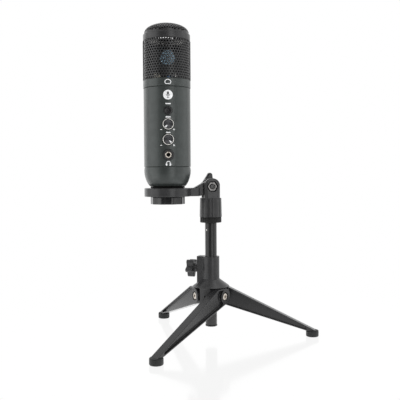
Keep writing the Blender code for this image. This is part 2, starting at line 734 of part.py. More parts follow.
def make_stud(stand, pin):
    wide = POLE_BORE_R - GAP
    low = POLE_TOP - STUD_IN_POLE
    high = POLE_TOP + STUD_ABOVE
    profile = [(0, low), (wide, low), (wide, POLE_TOP), (STUD_R, POLE_TOP)]
    profile += [(STUD_R, high - STUD_POINT), (STUD_R - STUD_POINT, high), (0, high)]
    stud = piece("pole_stud", turned(profile, SMALL_SIDES), steel(), stand)
    cut(stud, rod(PIN_R + GAP, POLE_R - PIN_DEPTH - GAP, POLE_R, "X", TINY_SIDES), pin)


def make_lock_ring(stand):
    outline = fluted(LOCK_RING_R, LOCK_RING_FLUTE, LOCK_RING_FLUTES, LOCK_RING_SHARE)
    high = LOCK_RING_BOTTOM + LOCK_RING_H
    ring = piece("lock_ring", prism(outline, LOCK_RING_BOTTOM, high), black_plastic(), stand)
    cut(ring, rod(STUD_R + GAP, LOCK_RING_BOTTOM - PAST, high + PAST))


# -------------------------------------------------------------------- clevis
def ear_outline():
    """Front view of an ear: straight sides and a rounded top about the tilt axis."""
    side = asin(EAR_HALF_W / EAR_TOP_R)
    top = arc((0, TILT_Z), EAR_TOP_R, pi / 2 - side, pi / 2 + side, CURVE_STEPS)
    foot = SHOULDER_Z - EAR_SINK
    return [(-EAR_HALF_W, foot), (EAR_HALF_W, foot)] + top


def make_socket(turntable):
    """The fluted sleeve that turns on the stud, with the two ears of the clevis."""
    outline = fluted(SOCKET_R, SOCKET_FLUTE, SOCKET_FLUTES, SOCKET_FLUTE_SHARE, 3)
    scale = SOCKET_TOP_R / SOCKET_R
    sleeve = tapered(outline, SOCKET_BOTTOM, SHOULDER_Z, scale)
    socket = piece("swivel_socket", sleeve, black_plastic(), turntable)
    add(socket, prism(ear_outline(), -EAR_FACE, EAR_FACE, "Y"))
    slot_half = TONGUE_HALF + GAP
    floor = SHOULDER_Z + GAP
    mouth = rectangle(-SOCKET_R, SOCKET_R, floor, TILT_Z + 2 * EAR_TOP_R)
    cut(socket, prism(mouth, -slot_half, slot_half, "Y"))
    bore_top = POLE_TOP + STUD_ABOVE + SOCKET_BORE_PAST
    cut(socket, rod(STUD_R + GAP, SOCKET_BOTTOM - PAST, bore_top))
    cut(socket, rod(BOLT_R + GAP, -EAR_FACE - PAST, EAR_FACE + PAST, "Y", SMALL_SIDES, (0, TILT_Z)))
    recess = [(x, z + TILT_Z) for x, z in hexagon(NUT_RECESS_FLATS)]
    depth = NUT_SUNK + NUT_H + GAP
    cut(socket, prism(recess, -EAR_FACE - PAST, -EAR_FACE + depth, "Y"))


def make_tilt_hardware(turntable):
    """Hex nut in the front ear, and the bolt that the rear knob turns."""
    axis = axis_frame("tilt_axis", (0, 0, TILT_Z), 0.0, turntable)
    nut_front = -EAR_FACE + NUT_SUNK
    nut = piece("tilt_nut", prism(hexagon(NUT_FLATS), nut_front, nut_front + NUT_H, "Y"),
                steel(), axis)
    cut(nut, rod(BOLT_R + GAP, nut_front - PAST, nut_front + NUT_H + PAST, "Y"))
    boss_start = EAR_FACE + RUN
    lobes_start = boss_start + TILT_KNOB_BOSS_L
    bolt_end = boss_start + TILT_BOLT_IN_KNOB
    piece("tilt_bolt", rod(BOLT_R, nut_front, bolt_end, "Y"), steel(), axis)
    outline = star(
        TILT_KNOB_LOBES, TILT_KNOB_LOBE_AT, TILT_KNOB_LOBE_R, TILT_KNOB_VALLEY_R, TILT_KNOB_TURN
    )
    lobes = prism(outline, lobes_start, lobes_start + TILT_KNOB_L, "Y")
    knob = piece("tilt_knob", lobes, black_plastic(), axis)
    add(knob, rod(TILT_KNOB_BOSS_R, boss_start, lobes_start + PAST, "Y", MIDDLE_SIDES))
    cut(knob, rod(BOLT_R + GAP, boss_start - PAST, bolt_end + GAP, "Y"))
    return axis


# ------------------------------------------------------------- ring bracket
def tongue_outline():
    """Front view of the arm's tongue: an eye on the tilt axis and a gusset to the arm."""
    low = -ARM_DROP
    top = ARM_H - ARM_DROP
    reach = sqrt(GUSSET_REACH ** 2 + top ** 2)
    lean = acos(TONGUE_R / reach)
    start = pi + asin(-top / reach) - lean
    points = arc((0, 0), TONGUE_R, start, -pi / 2, CURVE_STEPS)
    points.append((-ARM_SHOULDER, low))
    points.append((-GUSSET_REACH, low))
    points.append((-GUSSET_REACH, top))
    return points


def make_bracket(axis):
    """Ring, arm and tongue in one moulding."""
    arm = prism(rectangle(-ARM_LENGTH, -ARM_SHOULDER, -ARM_DROP, ARM_H - ARM_DROP),
                -ARM_HALF_W, ARM_HALF_W, "Y")
    bracket = piece("mount_ring", arm, black_plastic(), axis)
    add(bracket, rod(RING_R, -ARM_DROP, ARM_H - ARM_DROP, "Z", LARGE_SIDES, (-ARM_LENGTH, 0)))
    add(bracket, prism(tongue_outline(), -TONGUE_HALF, TONGUE_HALF, "Y"))
    hole = rod(RING_BORE_R, -ARM_DROP - PAST, ARM_H - ARM_DROP + PAST, "Z", LARGE_SIDES, (-ARM_LENGTH, 0))
    cut(bracket, hole)
    cut(bracket, rod(BOLT_R + GAP, -TONGUE_HALF - PAST, TONGUE_HALF + PAST, "Y"))


def make_mount(mic):
    """What fastens the microphone in the ring: stub, gasket and fluted nut."""
    outline = fluted(RETAINER_R, RETAINER_FLUTE, RETAINER_FLUTES, RETAINER_SHARE)
    nut = prism(outline, RETAINER_BOTTOM, RETAINER_TOP)
    retainer = piece("retaining_nut", nut, black_plastic(), mic)
    retainer.rotation_euler.z = RETAINER_TURN
    cut(retainer, rod(STUB_R + GAP, RETAINER_BOTTOM - PAST, RETAINER_TOP + PAST, "Z", LARGE_SIDES))
    wall = STUB_R + GAP
    profile = [(wall, GASKET_BOTTOM), (GASKET_R, GASKET_BOTTOM)]
    profile += [(GASKET_R, GASKET_BOTTOM + GASKET_H), (wall, GASKET_BOTTOM + GASKET_H)]
    piece("mount_gasket", turned(profile), rubber(), mic)
    flange_low = CUP_BOTTOM + CUP_WALL + GAP
    profile = [(STUB_BORE_R, STUB_BOTTOM), (STUB_R, STUB_BOTTOM), (STUB_R, flange_low)]
    profile += [(FLANGE_R, flange_low), (FLANGE_R, flange_low + STUB_FLANGE_H)]
    profile += [(STUB_BORE_R, flange_low + STUB_FLANGE_H)]
    piece("mount_stub", turned(profile), steel(), mic)


# --------------------------------------------------------------- microphone
def cup_radius(height):
    """Outer radius of the cup, this far above its underside."""
    if height >= CUP_ROUND_H:
        return BODY_R
    drop = (CUP_ROUND_H - height) / CUP_BULGE
    return BODY_R * sqrt(1 - drop ** 2)


def floor_radius():
    """Radius of the cup's floor inside its wall."""
    return cup_radius(CUP_WALL) - CUP_WALL


def make_cup(mic):
    """Closed-bottomed cup with a spigot that centres the body tube."""
    heights = [CUP_ROUND_H * i / PROFILE_STEPS for i in range(PROFILE_STEPS + 1)]
    outer = [(cup_radius(h), CUP_BOTTOM + h) for h in heights]
    inner_r = SPIGOT_R - SPIGOT_WALL
    spigot_top = CUP_TOP + SPIGOT_H
    profile = [(STUB_R + GAP, CUP_BOTTOM)] + outer
    profile += [(BODY_R, CUP_TOP), (SPIGOT_R, CUP_TOP), (SPIGOT_R, spigot_top)]
    profile += [(inner_r, spigot_top), (inner_r, CUP_BOTTOM + CUP_ROUND_H)]
    low = CUP_BOTTOM + CUP_WALL
    profile += [(floor_radius(), low), (STUB_R + GAP, low)]
    cup = piece("base_cup", turned(profile), body_paint(), mic)
    screw_at = (FLANGE_R + floor_radius()) / 2
    for name, turn in (("right", 0.0), ("left", pi)):
        place = axis_frame(f"cup_screw_axis_{name}", (0, 0, 0), CUP_SCREW_TURN + turn, mic)
        spot = (screw_at, 0)
        hole = rod(CUP_SCREW_R + GAP, CUP_BOTTOM - PAST, low + PAST, "Z", TINY_SIDES, spot)
        cut(cup, hole, place)
        sink = CUP_BOTTOM + CUP_SCREW_HEAD_H + 2 * GAP
        seat = rod(CUP_SCREW_HEAD_R + GAP, CUP_BOTTOM - PAST, sink, "Z", TINY_SIDES, spot)
        cut(cup, seat, place)
        make_cup_screw(name, place, screw_at)


def make_cup_screw(side, place, screw_at):
    """Flat-headed screw up through the cup's floor."""
    head_low = CUP_BOTTOM + GAP
    head_high = head_low + CUP_SCREW_HEAD_H
    tip = CUP_BOTTOM + CUP_WALL + CUP_SCREW_PAST
    profile = [(0, head_low), (CUP_SCREW_HEAD_R, head_low), (CUP_SCREW_HEAD_R, head_high)]
    profile += [(CUP_SCREW_R, head_high), (CUP_SCREW_R, tip), (0, tip)]
    mesh = turned(profile, TINY_SIDES)
    mesh.transform(Matrix.Translation((screw_at, 0, 0)))
    piece(f"cup_screw_{side}", mesh, steel(), place)


def make_body(mic):
    profile = [(BODY_BORE_R, BODY_BOTTOM), (BODY_R, BODY_BOTTOM)]
    profile += [(BODY_R, BODY_TOP), (BODY_BORE_R, BODY_TOP)]
    tube = piece("body_tube", turned(profile), body_paint(), mic)
    knob_hole = KNOB_R + TRIM_WALL + RUN
    holes = [
        (MUTE_SHARE, MUTE_R + RUN),
        (GAIN_SHARE, knob_hole),
        (VOLUME_SHARE, knob_hole),
        (JACK_SHARE, JACK_WASHER_R + GAP),
    ]
    for share, radius in holes:
        spot = (0, BODY_TOP - share * BODY_H)
        cut(tube, rod(radius, -BODY_R - PAST, -BOARD_FRONT, "Y", MIDDLE_SIDES, spot))


def make_grille(mic):
    inner = GRILLE_RING_BORE_R
    low, high = GRILLE_RING_BOTTOM, GRILLE_RING_TOP
    profile = [(inner, low), (GRILLE_RING_R, low), (GRILLE_RING_R, high), (inner, high)]
    piece("grille_ring", turned(profile), body_paint(), mic)
    inner = DOME_R - GRILLE_WALL - BAND_LEDGE
    ledge = BAND_TOP - DOME_SKIRT - GAP
    profile = [(inner, BAND_BOTTOM), (BAND_R, BAND_BOTTOM), (BAND_R, BAND_TOP - BAND_EDGE)]
    profile += [(BAND_R - BAND_EDGE, BAND_TOP), (DOME_R + GAP, BAND_TOP)]
    profile += [(DOME_R + GAP, ledge), (inner, ledge)]
    piece("upper_band", turned(profile), grille_paint(), mic)
    low, high = GRILLE_BOTTOM, GRILLE_TOP
    for name, middle in (("front_grille", -pi / 2), ("rear_grille", pi / 2)):
        start, end = middle - GRILLE_SPAN / 2, middle + GRILLE_SPAN / 2
        shell = sector(GRILLE_R - GRILLE_WALL, GRILLE_R, start, end, low, high, LARGE_SIDES // 2)
        piece(name, shell, grille_paint(), mic)
    side_gap = (pi - GRILLE_SPAN) / 2 - GAP / GRILLE_R
    for name, middle in (("side_post_right", 0.0), ("side_post_left", pi)):
        start, end = middle - side_gap, middle + side_gap
        post = sector(POST_R - POST_DEPTH, POST_R, start, end, low, high, 2)
        piece(name, post, black_plastic(), mic)
    make_dome(mic)


def make_dome(mic):
    """Domed top grille as a thin shell, standing in the band."""
    base = BAND_TOP + DOME_STRAIGHT
    turns = [pi / 2 * i / PROFILE_STEPS for i in range(PROFILE_STEPS + 1)]
    outer = [(DOME_R * cos(t), base + DOME_RISE * sin(t)) for t in turns]
    inner_r = DOME_R - GRILLE_WALL
    rise = DOME_RISE - GRILLE_WALL
    inner = [(inner_r * cos(t), base + rise * sin(t)) for t in turns]
    outer[-1] = (0.0, outer[-1][1])
    inner[-1] = (0.0, inner[-1][1])
    foot = BAND_TOP - DOME_SKIRT
    profile = [(inner_r, foot), (DOME_R, foot)]
    profile += outer + inner[::-1]
    piece("top_grille", turned(profile), grille_paint(), mic)


def make_capsule(mic):
    """Capsule in its carrier, a plate that stands on the deck."""
    back = -CAPSULE_FACE + CAPSULE_L
    spot = (0, CAPSULE_Z)
    disc = rod(CAPSULE_R, -CAPSULE_FACE, back, "Y", MIDDLE_SIDES, spot)
    piece("capsule", disc, capsule_metal(), mic)
    low = DECK_Z + PLATE_T + GAP
    outline = carrier_outline(low, low + CARRIER_H)
    front = (-CAPSULE_FACE + back) / 2 - CARRIER_T / 2
    carrier = piece("capsule_carrier", prism(outline, front, front + CARRIER_T, "Y"),
                    black_plastic(), mic)
    hole = rod(CAPSULE_R + GAP, front - PAST, front + CARRIER_T + PAST, "Y", MIDDLE_SIDES, spot)
    cut(carrier, hole)


def carrier_outline(low, high):
    """The carrier plate, notched over the deck for its wires."""
    middle = CAPSULE_FACE - CAPSULE_L / 2 + CARRIER_T
    wide = sqrt((GRILLE_RING_BORE_R - RUN) ** 2 - middle ** 2)
    notch_out = wide - CARRIER_FOOT_W
    right = [(CARRIER_NOTCH_IN, low), (CARRIER_NOTCH_IN, low + CARRIER_NOTCH_H)]
    right += [(notch_out, low + CARRIER_NOTCH_H), (notch_out, low)]
    right += [(wide, low), (wide, high)]
    left = [(-x, z) for x, z in reversed(right)]
    return right + left


def make_chassis(mic):
    """Base plate, deck and the two rails between them."""
    for name, low in (("base_plate", BASE_PLATE_Z), ("capsule_deck", DECK_Z)):
        profile = [(WIRE_HOLE_R, low), (PLATE_R, low), (PLATE_R, low + PLATE_T)]
        profile += [(WIRE_HOLE_R, low + PLATE_T)]
        piece(name, turned(profile), steel(), mic)
    low = BASE_PLATE_Z + PLATE_T + GAP
    high = DECK_Z - GAP
    for name, side in (("chassis_rail_left", -1), ("chassis_rail_right", 1)):
        edges = sorted((side * RAIL_AT, side * (RAIL_AT - RAIL_T)))
        outline = rectangle(edges[0], edges[1], -RAIL_W / 2, RAIL_W / 2)
        piece(name, prism(outline, low, high), steel(), mic)
    board_low = low + BOARD_MARGIN
    board_high = high - BOARD_MARGIN
    outline = rectangle(-BOARD_W / 2, BOARD_W / 2, board_low, board_high)
    board = prism(outline, -BOARD_FRONT, -BOARD_FRONT + BOARD_T, "Y")
    piece("circuit_board", board, board_green(), mic)


# ------------------------------------------------------------------ controls
def make_mute(mic):
    """Mute button over a tact switch on the board."""
    height = BODY_TOP - MUTE_SHARE * BODY_H
    axis = axis_frame("mute_axis", (0, 0, height), 0.0, mic)
    base = -BOARD_FRONT - GAP
    outline = rectangle(-SWITCH_W / 2, SWITCH_W / 2, -SWITCH_W / 2, SWITCH_W / 2)
    switch = piece("mute_switch", prism(outline, base - SWITCH_H, base, "Y"), black_plastic(), axis)
    flange_front = inside_wall(MUTE_FLANGE_R) + RUN
    flange_back = flange_front + MUTE_FLANGE_T
    plunger = flange_back + GAP + MUTE_TRAVEL
    add(switch, rod(PLUNGER_R, plunger, base - PAST, "Y", TINY_SIDES))
    face = -BODY_R - MUTE_PROUD
    stem = rod(MUTE_R, face, flange_back, "Y", MIDDLE_SIDES)
    button = piece("mute_button", stem, black_plastic(), axis)
    add(button, rod(MUTE_FLANGE_R, flange_front, flange_back, "Y", MIDDLE_SIDES))


def inside_wall(half_width):
    """Y of the body tube's inner wall, this far to the side of the middle."""
    return -sqrt(BODY_BORE_R ** 2 - half_width ** 2)


def make_knob(mic, name, share):
    """Rotary control: potentiometer on the board, knob and the bright trim around it."""
    height = BODY_TOP - share * BODY_H
    axis = axis_frame(f"{name}_axis", (0, 0, height), 0.0, mic)
    base = -BOARD_FRONT - GAP
    half = POT_W / 2
    pot = piece(f"{name}_pot", prism(rectangle(-half, half, -half, half), base - POT_H, base, "Y"),
                black_plastic(), axis)
    face = -BODY_R - KNOB_PROUD
    back = -BODY_R + KNOB_SINK
    shaft_end = back - POT_SHAFT_IN_KNOB
    add(pot, rod(POT_SHAFT_R, shaft_end, base - PAST, "Y"))
    knob = piece(f"{name}_knob", rod(KNOB_R, face, back, "Y", MIDDLE_SIDES), black_plastic(), axis)
    cut(knob, rod(POT_SHAFT_R + GAP, shaft_end - GAP, back + PAST, "Y"))
    wall = KNOB_R - TRIM_WALL
    cut(knob, rod(KNOB_R + PAST, face - PAST, face + TRIM_H + GAP, "Y", MIDDLE_SIDES))
    add(knob, rod(wall, face, face + TRIM_H + PAST, "Y", MIDDLE_SIDES))
    ring = rod(KNOB_R + TRIM_WALL, face, face + TRIM_H, "Y", MIDDLE_SIDES)
    trim = piece(f"{name}_trim", ring, steel(), axis)
    cut(trim, rod(wall + GAP, face - PAST, face + TRIM_H + PAST, "Y", MIDDLE_SIDES))


def make_jack(mic):
    """Headphone socket: body on the board, plated ring and the washer around it."""
    axis = axis_frame("jack_axis", (0, 0, BODY_TOP - JACK_SHARE * BODY_H), 0.0, mic)
    base = -BOARD_FRONT - GAP
    half = JACK_W / 2
    washer_front = -BODY_R + JACK_WASHER_SUNK
    washer_back = washer_front + JACK_WASHER_T
    body_front = max(washer_back + GAP, inside_wall(half) + RUN)
    body = prism(rectangle(-half, half, -half, half), body_front, base, "Y")
    jack = piece("headphone_jack", body, black_plastic(), axis)
    face = -BODY_R - JACK_PROUD
    add(jack, rod(JACK_RING_R, face, body_front + PAST, "Y"))
    cut(jack, rod(JACK_BORE_R, face - PAST, face + JACK_BORE_DEPTH, "Y"))
    disc = rod(JACK_WASHER_R, washer_front, washer_back, "Y", MIDDLE_SIDES)
    washer = piece("jack_washer", disc, black_plastic(), axis)
    cut(washer, rod(JACK_RING_R + GAP, washer_front - PAST, washer_back + PAST, "Y"))


def make_usb(mic):
    """Square socket in the stub, its mouth facing down."""
    half_w = USB_W_SHARE * STUB_BORE_R / 2
    half_d = USB_D_SHARE * STUB_BORE_R / 2
    outline = rectangle(-half_w, half_w, -half_d, half_d)
    socket = piece("usb_socket", prism(outline, USB_FACE, USB_FACE + USB_L), steel(), mic)
    mouth_w = half_w - USB_WALL_W
    mouth_d = half_d - USB_WALL_D
    mouth = rectangle(-mouth_w, mouth_w, -mouth_d, mouth_d)
    cut(socket, prism(mouth, USB_FACE - PAST, USB_FACE + USB_MOUTH_DEPTH))


# ------------------------------------------------------------------ assembly
def build():
    clear_scene()
    centre = plan_centre()
    stand = axis_frame("stand", (-centre[0], -centre[1], 0))
    pivots = []
    for i in range(3):
        bearing = foot_bearing(i) - LEG_LAG
        at = (PIVOT_ALONG * cos(bearing), PIVOT_ALONG * sin(bearing), PIVOT_Z)
        pivots.append(axis_frame(f"leg_pivot_{i + 1}", at, bearing, stand))
    for number, pivot in enumerate(pivots, start=1):
        make_leg(number, pivot)
        make_leg_screw(number, pivot)
        make_foot(number, pivot)
    make_hub(stand, pivots)
    make_clamp(stand)
    make_pole(stand)
    make_lock_ring(stand)
    turntable = axis_frame("turntable", (0, 0, 0), ARM_TURN, stand)
    make_socket(turntable)
    tilt_axis = make_tilt_hardware(turntable)
    make_bracket(tilt_axis)
    mic_at = (-ARM_LENGTH * cos(ARM_TURN), -ARM_LENGTH * sin(ARM_TURN), 0)
    mic = axis_frame("microphone", mic_at, 0.0, stand)
    make_mount(mic)
    make_cup(mic)
    make_body(mic)
    make_grille(mic)
    make_capsule(mic)
    make_chassis(mic)
    make_mute(mic)
    make_knob(mic, "gain", GAIN_SHARE)
    make_knob(mic, "volume", VOLUME_SHARE)
    make_jack(mic)
    make_usb(mic)


build()
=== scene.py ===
"""Looks of the desktop microphone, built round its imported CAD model.

Every piece is modelled in the local frame of the part that it belongs to, such as the microphone's
axis or a leg's pivot, and is then placed by that frame, which comes from the record's joints.
Lengths are in metres, written as millimetres times MM. A round piece stands on its local Z axis.
"""

import json
from math import acos, asin, atan2, cos, pi, radians, sin, sqrt, tan

import bmesh
import bpy
from mathutils import Matrix, Vector


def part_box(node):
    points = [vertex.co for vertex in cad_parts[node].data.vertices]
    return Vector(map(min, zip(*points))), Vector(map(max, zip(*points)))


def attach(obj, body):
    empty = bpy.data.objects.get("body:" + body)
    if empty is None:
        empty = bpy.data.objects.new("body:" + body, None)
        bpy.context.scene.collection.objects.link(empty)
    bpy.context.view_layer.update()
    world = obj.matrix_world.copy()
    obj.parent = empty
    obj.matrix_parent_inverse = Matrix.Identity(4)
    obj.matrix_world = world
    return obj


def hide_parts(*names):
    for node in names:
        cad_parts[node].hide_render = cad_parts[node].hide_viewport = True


MM = 0.001

# ---- camera
CAMERA_AT = Vector((-90.45, -626.0, 165.4)) * MM
CAMERA_TURN = radians(-5.32)
CAMERA_DOWN = radians(2.121)
CAMERA_ROLL = radians(-0.36)
CAMERA_LENS = 54.93
SENSOR_WIDTH = 36.0
VIEW_END = 50.0

# ---- lamps and floor
AMBIENT = 0.40  # strength of the world on matt surfaces
FRONT_GLOSS = 0.10  # what gloss sees on the camera's side
BACK_GLOSS = 1.08  # what gloss sees behind the object
WORLD_TURN = (-0.3, 0.5)  # Y directions between which it goes from one to the other
LOW_GLOSS = 0.9  # what gloss sees below the object, past the floor's edge
LOW_TURN = (-0.42, -0.18)  # Z directions between which that fades out
FLOOR_GLOW = 0.90  # share of plain white in the floor as the camera sees it
GLOW_NEAR_R = 0.19  # that share, up to this distance from the object
GLOW_FAR_R = 0.29  # only plain white from here on
FLOOR_MIRROR = 0.85  # share of mirror in the rest of the floor
FLOOR_R = 0.34  # white beyond it, as far as the camera sees
# Painted glow: the floor emits light that only gloss rays see, brightest at the object and dimmer outwards, so
# that the object's glossy parts reflect it; no lamp stands there.
GLOSS_GLOW_NEAR = 1.8  # how bright gloss sees the floor at the object
GLOSS_GLOW_NEAR_R = 0.10
GLOSS_GLOW_FAR = 0.60  # and from GLOSS_GLOW_FAR_R outwards
GLOSS_GLOW_FAR_R = 0.30
FLOOR_DROP = 0.02 * MM
FLOOR_TONE = (0.88, 0.88, 0.88)
FLOOR_ROUGHNESS = 0.5
FLOOR_GRAIN = 40 * MM
FLOOR_MOTTLE = 0.01
MIRROR_ROUGHNESS = 0.12
LAMP_AIM = Vector((-0.03, 0.0, 0.17))
LAMPS = {  # bearing in degrees (0 is the camera's side), distance, height, width, length, power
    "key_left": (-74, 1.1, 0.05, 1.05, 1.5, 7.5),
    "key_right": (73, 1.1, 0.05, 1.2, 1.5, 5.9),
    "front_right": (19, 1.1, 0.05, 0.46, 1.5, 4.4),
    "back_left": (-138, 1.1, 0.05, 0.7, 1.5, 2.2),
    "ceiling": (0, 0.1, 1.2, 1.2, 1.2, 6.0),
}
WHITE = (1.0, 1.0, 1.0, 1.0)

# ---- general
SIDES = 96  # sides of large round pieces
SMALL_SIDES = 48  # sides of screws, knobs and feet
GAP = 0.3 * MM  # clearance between fitted pieces
THIN_GAP = GAP / 3  # clearance between pieces that all but touch
WELD = 1e-7
PAST = 1.0 * MM  # how far a cutter runs past a face
SHARP = radians(35.0)
FINISH_MARK = "_finish"  # keeps the names of finishes apart from the CAD materials'
NOISE_RANGE = (0.3, 0.7)  # where nearly all values of a noise lie
EDGE_STEPS = 3
SOFT_STEPS = 4  # steps of the knobs' and ears' round edges
ARC_STEPS = 10
MOTTLE = 0.12  # share by which tone and gloss vary
PATCH_DETAIL = 2.0
GRAIN_DETAIL = 3.0
PATCH = 6 * MM  # size of the patches in a tone

# ---- legs
LEG_FACE = 18.5 * MM  # pole axis to a leg's outer face
LEG_WIDTH = 8.5 * MM
LEG_INNER = LEG_FACE - LEG_WIDTH
LEG_MIDDLE = LEG_FACE - LEG_WIDTH / 2
LEG_ROOT_R = 8.4 * MM
LEG_KNEE = 11.5 * MM
LEG_TIP_TOP = 8.2 * MM
LEG_TIP_BOTTOM = 4.6 * MM
LEG_TIP_PAST = 3.4 * MM
LEG_RIM = 1.4 * MM
LEG_POCKET_FRONT = 2.6 * MM
LEG_POCKET_BACK = 1.6 * MM
LEG_POCKET_HIGH = 0.6 * MM
LEG_POCKET_LOW = 1.2 * MM
LEG_BOSS_R = 6.9 * MM
LEG_EDGE = 0.4 * MM
PIVOT_ALONG = 1.0 * MM  # pivot past the pole axis, along the leg
FOOT_R = 6.5 * MM
FOOT_H = 6.5 * MM
FOOT_REACH = 104.8 * MM
FOOT_EDGE = 1.1 * MM
FOOT_NOTCH_EDGE = 0.25 * MM
SCREW_R = 2.0 * MM
SCREW_HEAD_R = 3.5 * MM
SCREW_HEAD_H = 1.4 * MM
SCREW_SUNK = 0.25 * MM
SCREW_ROUND = 0.5 * MM
SCREW_DRIVE = 2.9 * MM  # across the flats of its hex drive
SCREW_DRIVE_DEPTH = 1.3 * MM
SCREW_RECESS_R = 4.6 * MM
SCREW_EDGE = 0.08 * MM

# ---- hub
HUB_R = 18.2 * MM
HUB_SKIRT_R = 18.8 * MM
HUB_BOTTOM = 37.5 * MM
HUB_WALL = 2.2 * MM
SKIRT_EDGE = 0.8 * MM
CONE_H = 8.0 * MM
COLLAR_R = 8.6 * MM
COLLAR_H = 23.0 * MM
CLAMP_REACH = 14.0 * MM
CLAMP_HALF = 4.6 * MM
VENT_W = 1.6 * MM
VENT_H = 4.0 * MM
VENT_DEPTH = 1.0 * MM
HUB_EDGE = 0.35 * MM
ROOM = 0.5 * MM  # clearance round a leg's root

# ---- hand knobs
CLAMP_KNOB = {
    "star": dict(lobes=5, lobe_at=7.3 * MM, lobe_r=2.3 * MM, valley_r=5.6 * MM, turn=radians(58.0)),
    "stem_r": 4.4 * MM,
    "stem_l": 3.3 * MM,
    "length": 7.6 * MM,
    "edge": 0.8 * MM,
    "dish_r": 3.6 * MM,
    "dish_rim_r": 4.4 * MM,
    "dish_depth": 0.8 * MM,
}
TILT_KNOB = {
    "star": dict(lobes=3, lobe_at=11.6 * MM, lobe_r=2.8 * MM, valley_r=6.9 * MM, turn=radians(78.0)),
    "stem_r": 6.0 * MM,
    "stem_l": 2.4 * MM,
    "length": 7.0 * MM,
    "edge": 1.8 * MM,
    "dish_r": 3.4 * MM,
    "dish_rim_r": 4.6 * MM,
    "dish_depth": 1.2 * MM,
}
DISH_RISE = 0.2 * MM  # how much a dish's edge stands above its middle
HAND_KNOB_EDGE = 0.2 * MM

# ---- pole
POLE_WALL = 1.2 * MM
POLE_EDGE = 0.4 * MM
POLE_IN_EDGE = 0.2 * MM
PIN_R = 1.0 * MM
PIN_GAP = 0.15 * MM
PIN_SHORT = 0.25 * MM  # pin's end below the pole's surface
PIN_EDGE = 0.25 * MM
POLE_PLUG_IN = 1.5 * MM  # pole's surface to the shank of the plug in it
POLE_PLUG_LOW_EDGE = 0.7 * MM
POLE_PLUG_HIGH_EDGE = 0.3 * MM
LOCK_RING_BORE_R = 4.3 * MM
LOCK_RING_EDGE = 0.3 * MM
LOCK_RING_GROOVES = 24
LOCK_RING_GROOVE = 0.45 * MM
LOCK_RING_SHARE = 0.4
LOCK_RING_STEPS = 2

# ---- clevis
SOCKET_TOP_R = 11.0 * MM
SOCKET_BORE_R = 4.8 * MM
SOCKET_ROOF = 4.0 * MM  # shoulder to the bore's end
SOCKET_EDGE = 0.35 * MM
SOCKET_CUT_EDGE = 0.25 * MM
SOCKET_FLUTES = 8
SOCKET_FLUTE = 0.6 * MM
SOCKET_FLUTE_SHARE = 0.34
SHOULDER_DROP = 11.8 * MM  # tilt axis above the socket's shoulder
EAR_HALF_W = 8.1 * MM
EAR_FACE = 10.0 * MM
EAR_TOP_R = 8.4 * MM
EAR_ROUND_R = 11.2 * MM  # the ears are cut from a round of this radius
EAR_SINK = 0.3 * MM
EAR_EDGE = 0.9 * MM
TONGUE_HALF = 4.0 * MM
TONGUE_R = 7.4 * MM
BOLT_R = 2.5 * MM
NUT_FLATS = 8.0 * MM
NUT_H = 3.8 * MM
NUT_SUNK = 0.5 * MM
NUT_RECESS_FLATS = 10.4 * MM
NUT_FACE_R = 4.4 * MM
NUT_FACE_EDGE = 0.3 * MM
NUT_CHAMFER = 0.9 * MM
NUT_SINK_R = 3.4 * MM  # sunk face of the nut round the bolt's end
NUT_SINK = 1.4 * MM
BOLT_DRIVE = 2.6 * MM  # across the flats of the hex in its end
BOLT_DRIVE_DEPTH = 0.8 * MM
BOLT_SHORT = 0.45 * MM  # bolt's end below the nut's face
BOLT_END_L = 0.3 * MM
BOLT_END_IN = 0.6 * MM

# ---- ring bracket
ARM_DROP = 9.7 * MM  # tilt axis down to the arm's underside
ARM_HALF_W = 6.5 * MM
ARM_SHOULDER = 12.4 * MM
ARM_CORNER = 1.8 * MM
ARM_STEPS = 6
GUSSET_REACH = 17.5 * MM
RING_BORE_R = 12.6 * MM
BRACKET_EDGE = 0.45 * MM
RETAINER_R = 17.3 * MM
RETAINER_FLUTES = 10
RETAINER_FLUTE = 0.8 * MM
RETAINER_SHARE = 0.8
RETAINER_TURN = radians(-8.0)
RETAINER_EDGE = 0.4 * MM
RETAINER_STEPS = 6
STUB_R = 12.0 * MM
STUB_BORE_R = 9.6 * MM
THREAD_PITCH = 1.0 * MM
THREAD_DEPTH = 0.35 * MM
THREAD_GAP = 0.1 * MM
STUB_CHAMFER = 0.6 * MM
STUB_SHORT = 2.0 * MM
GASKET_EDGE = 0.3 * MM
USB_MOUTH_W = 4.4 * MM  # half sizes of the USB socket's mouth
USB_MOUTH_D = 4.0 * MM
USB_SLANT_W = 0.6  # shares of them where its slanted corners start
USB_SLANT_D = 0.4
USB_DEPTH = 9.0 * MM
USB_EDGE = 0.15 * MM
USB_TONGUE_W = 0.62  # its tongue, as shares of the mouth
USB_TONGUE_D = 0.35
USB_TONGUE_IN = 1.2 * MM
USB_TONGUE_EDGE = 0.2 * MM

# ---- microphone
CUP_ROUND_H = 15.8 * MM
CUP_BULGE = 25.4 * MM
CUP_SIDES = 12  # steps along the cup's curve
SEAM_EDGE = 0.35 * MM
TUBE_WALL = 2.0 * MM
RING_WALL = 2.2 * MM
BAND_EDGE = 0.6 * MM
DOME_R = 22.3 * MM
DOME_RISE = 9.5 * MM
DOME_STRAIGHT = 1.7 * MM
DOME_RIM = 1.3 * MM  # band to the nearest hole's centre
DOME_STEPS = 60
DOME_GAP = 0.05 * MM
SHEET_WALL = 0.8 * MM
SHEET_R = 23.5 * MM
SHEET_SPAN = radians(150.0)
HOLE_R = 1.02 * MM
HOLE_PITCH = 2.8 * MM
HOLE_RISE = HOLE_PITCH * sqrt(3) / 2
HOLE_SIDES = 18
HOLES_ACROSS = 10  # holes on each side of the middle one in a long row
HOLE_ROWS = 16
CELL_WELD = 0.01 * MM
NEARLY = 0.05 * MM  # tolerance when the outer holes are looked for
POST_IN_R = 20.7 * MM
POST_R = 23.9 * MM
POST_EDGE = 0.3 * MM
LINER_WALL = 0.3 * MM
PLUG_W = 6.0 * MM  # plug, screw and capacitor in front of the capsule's carrier
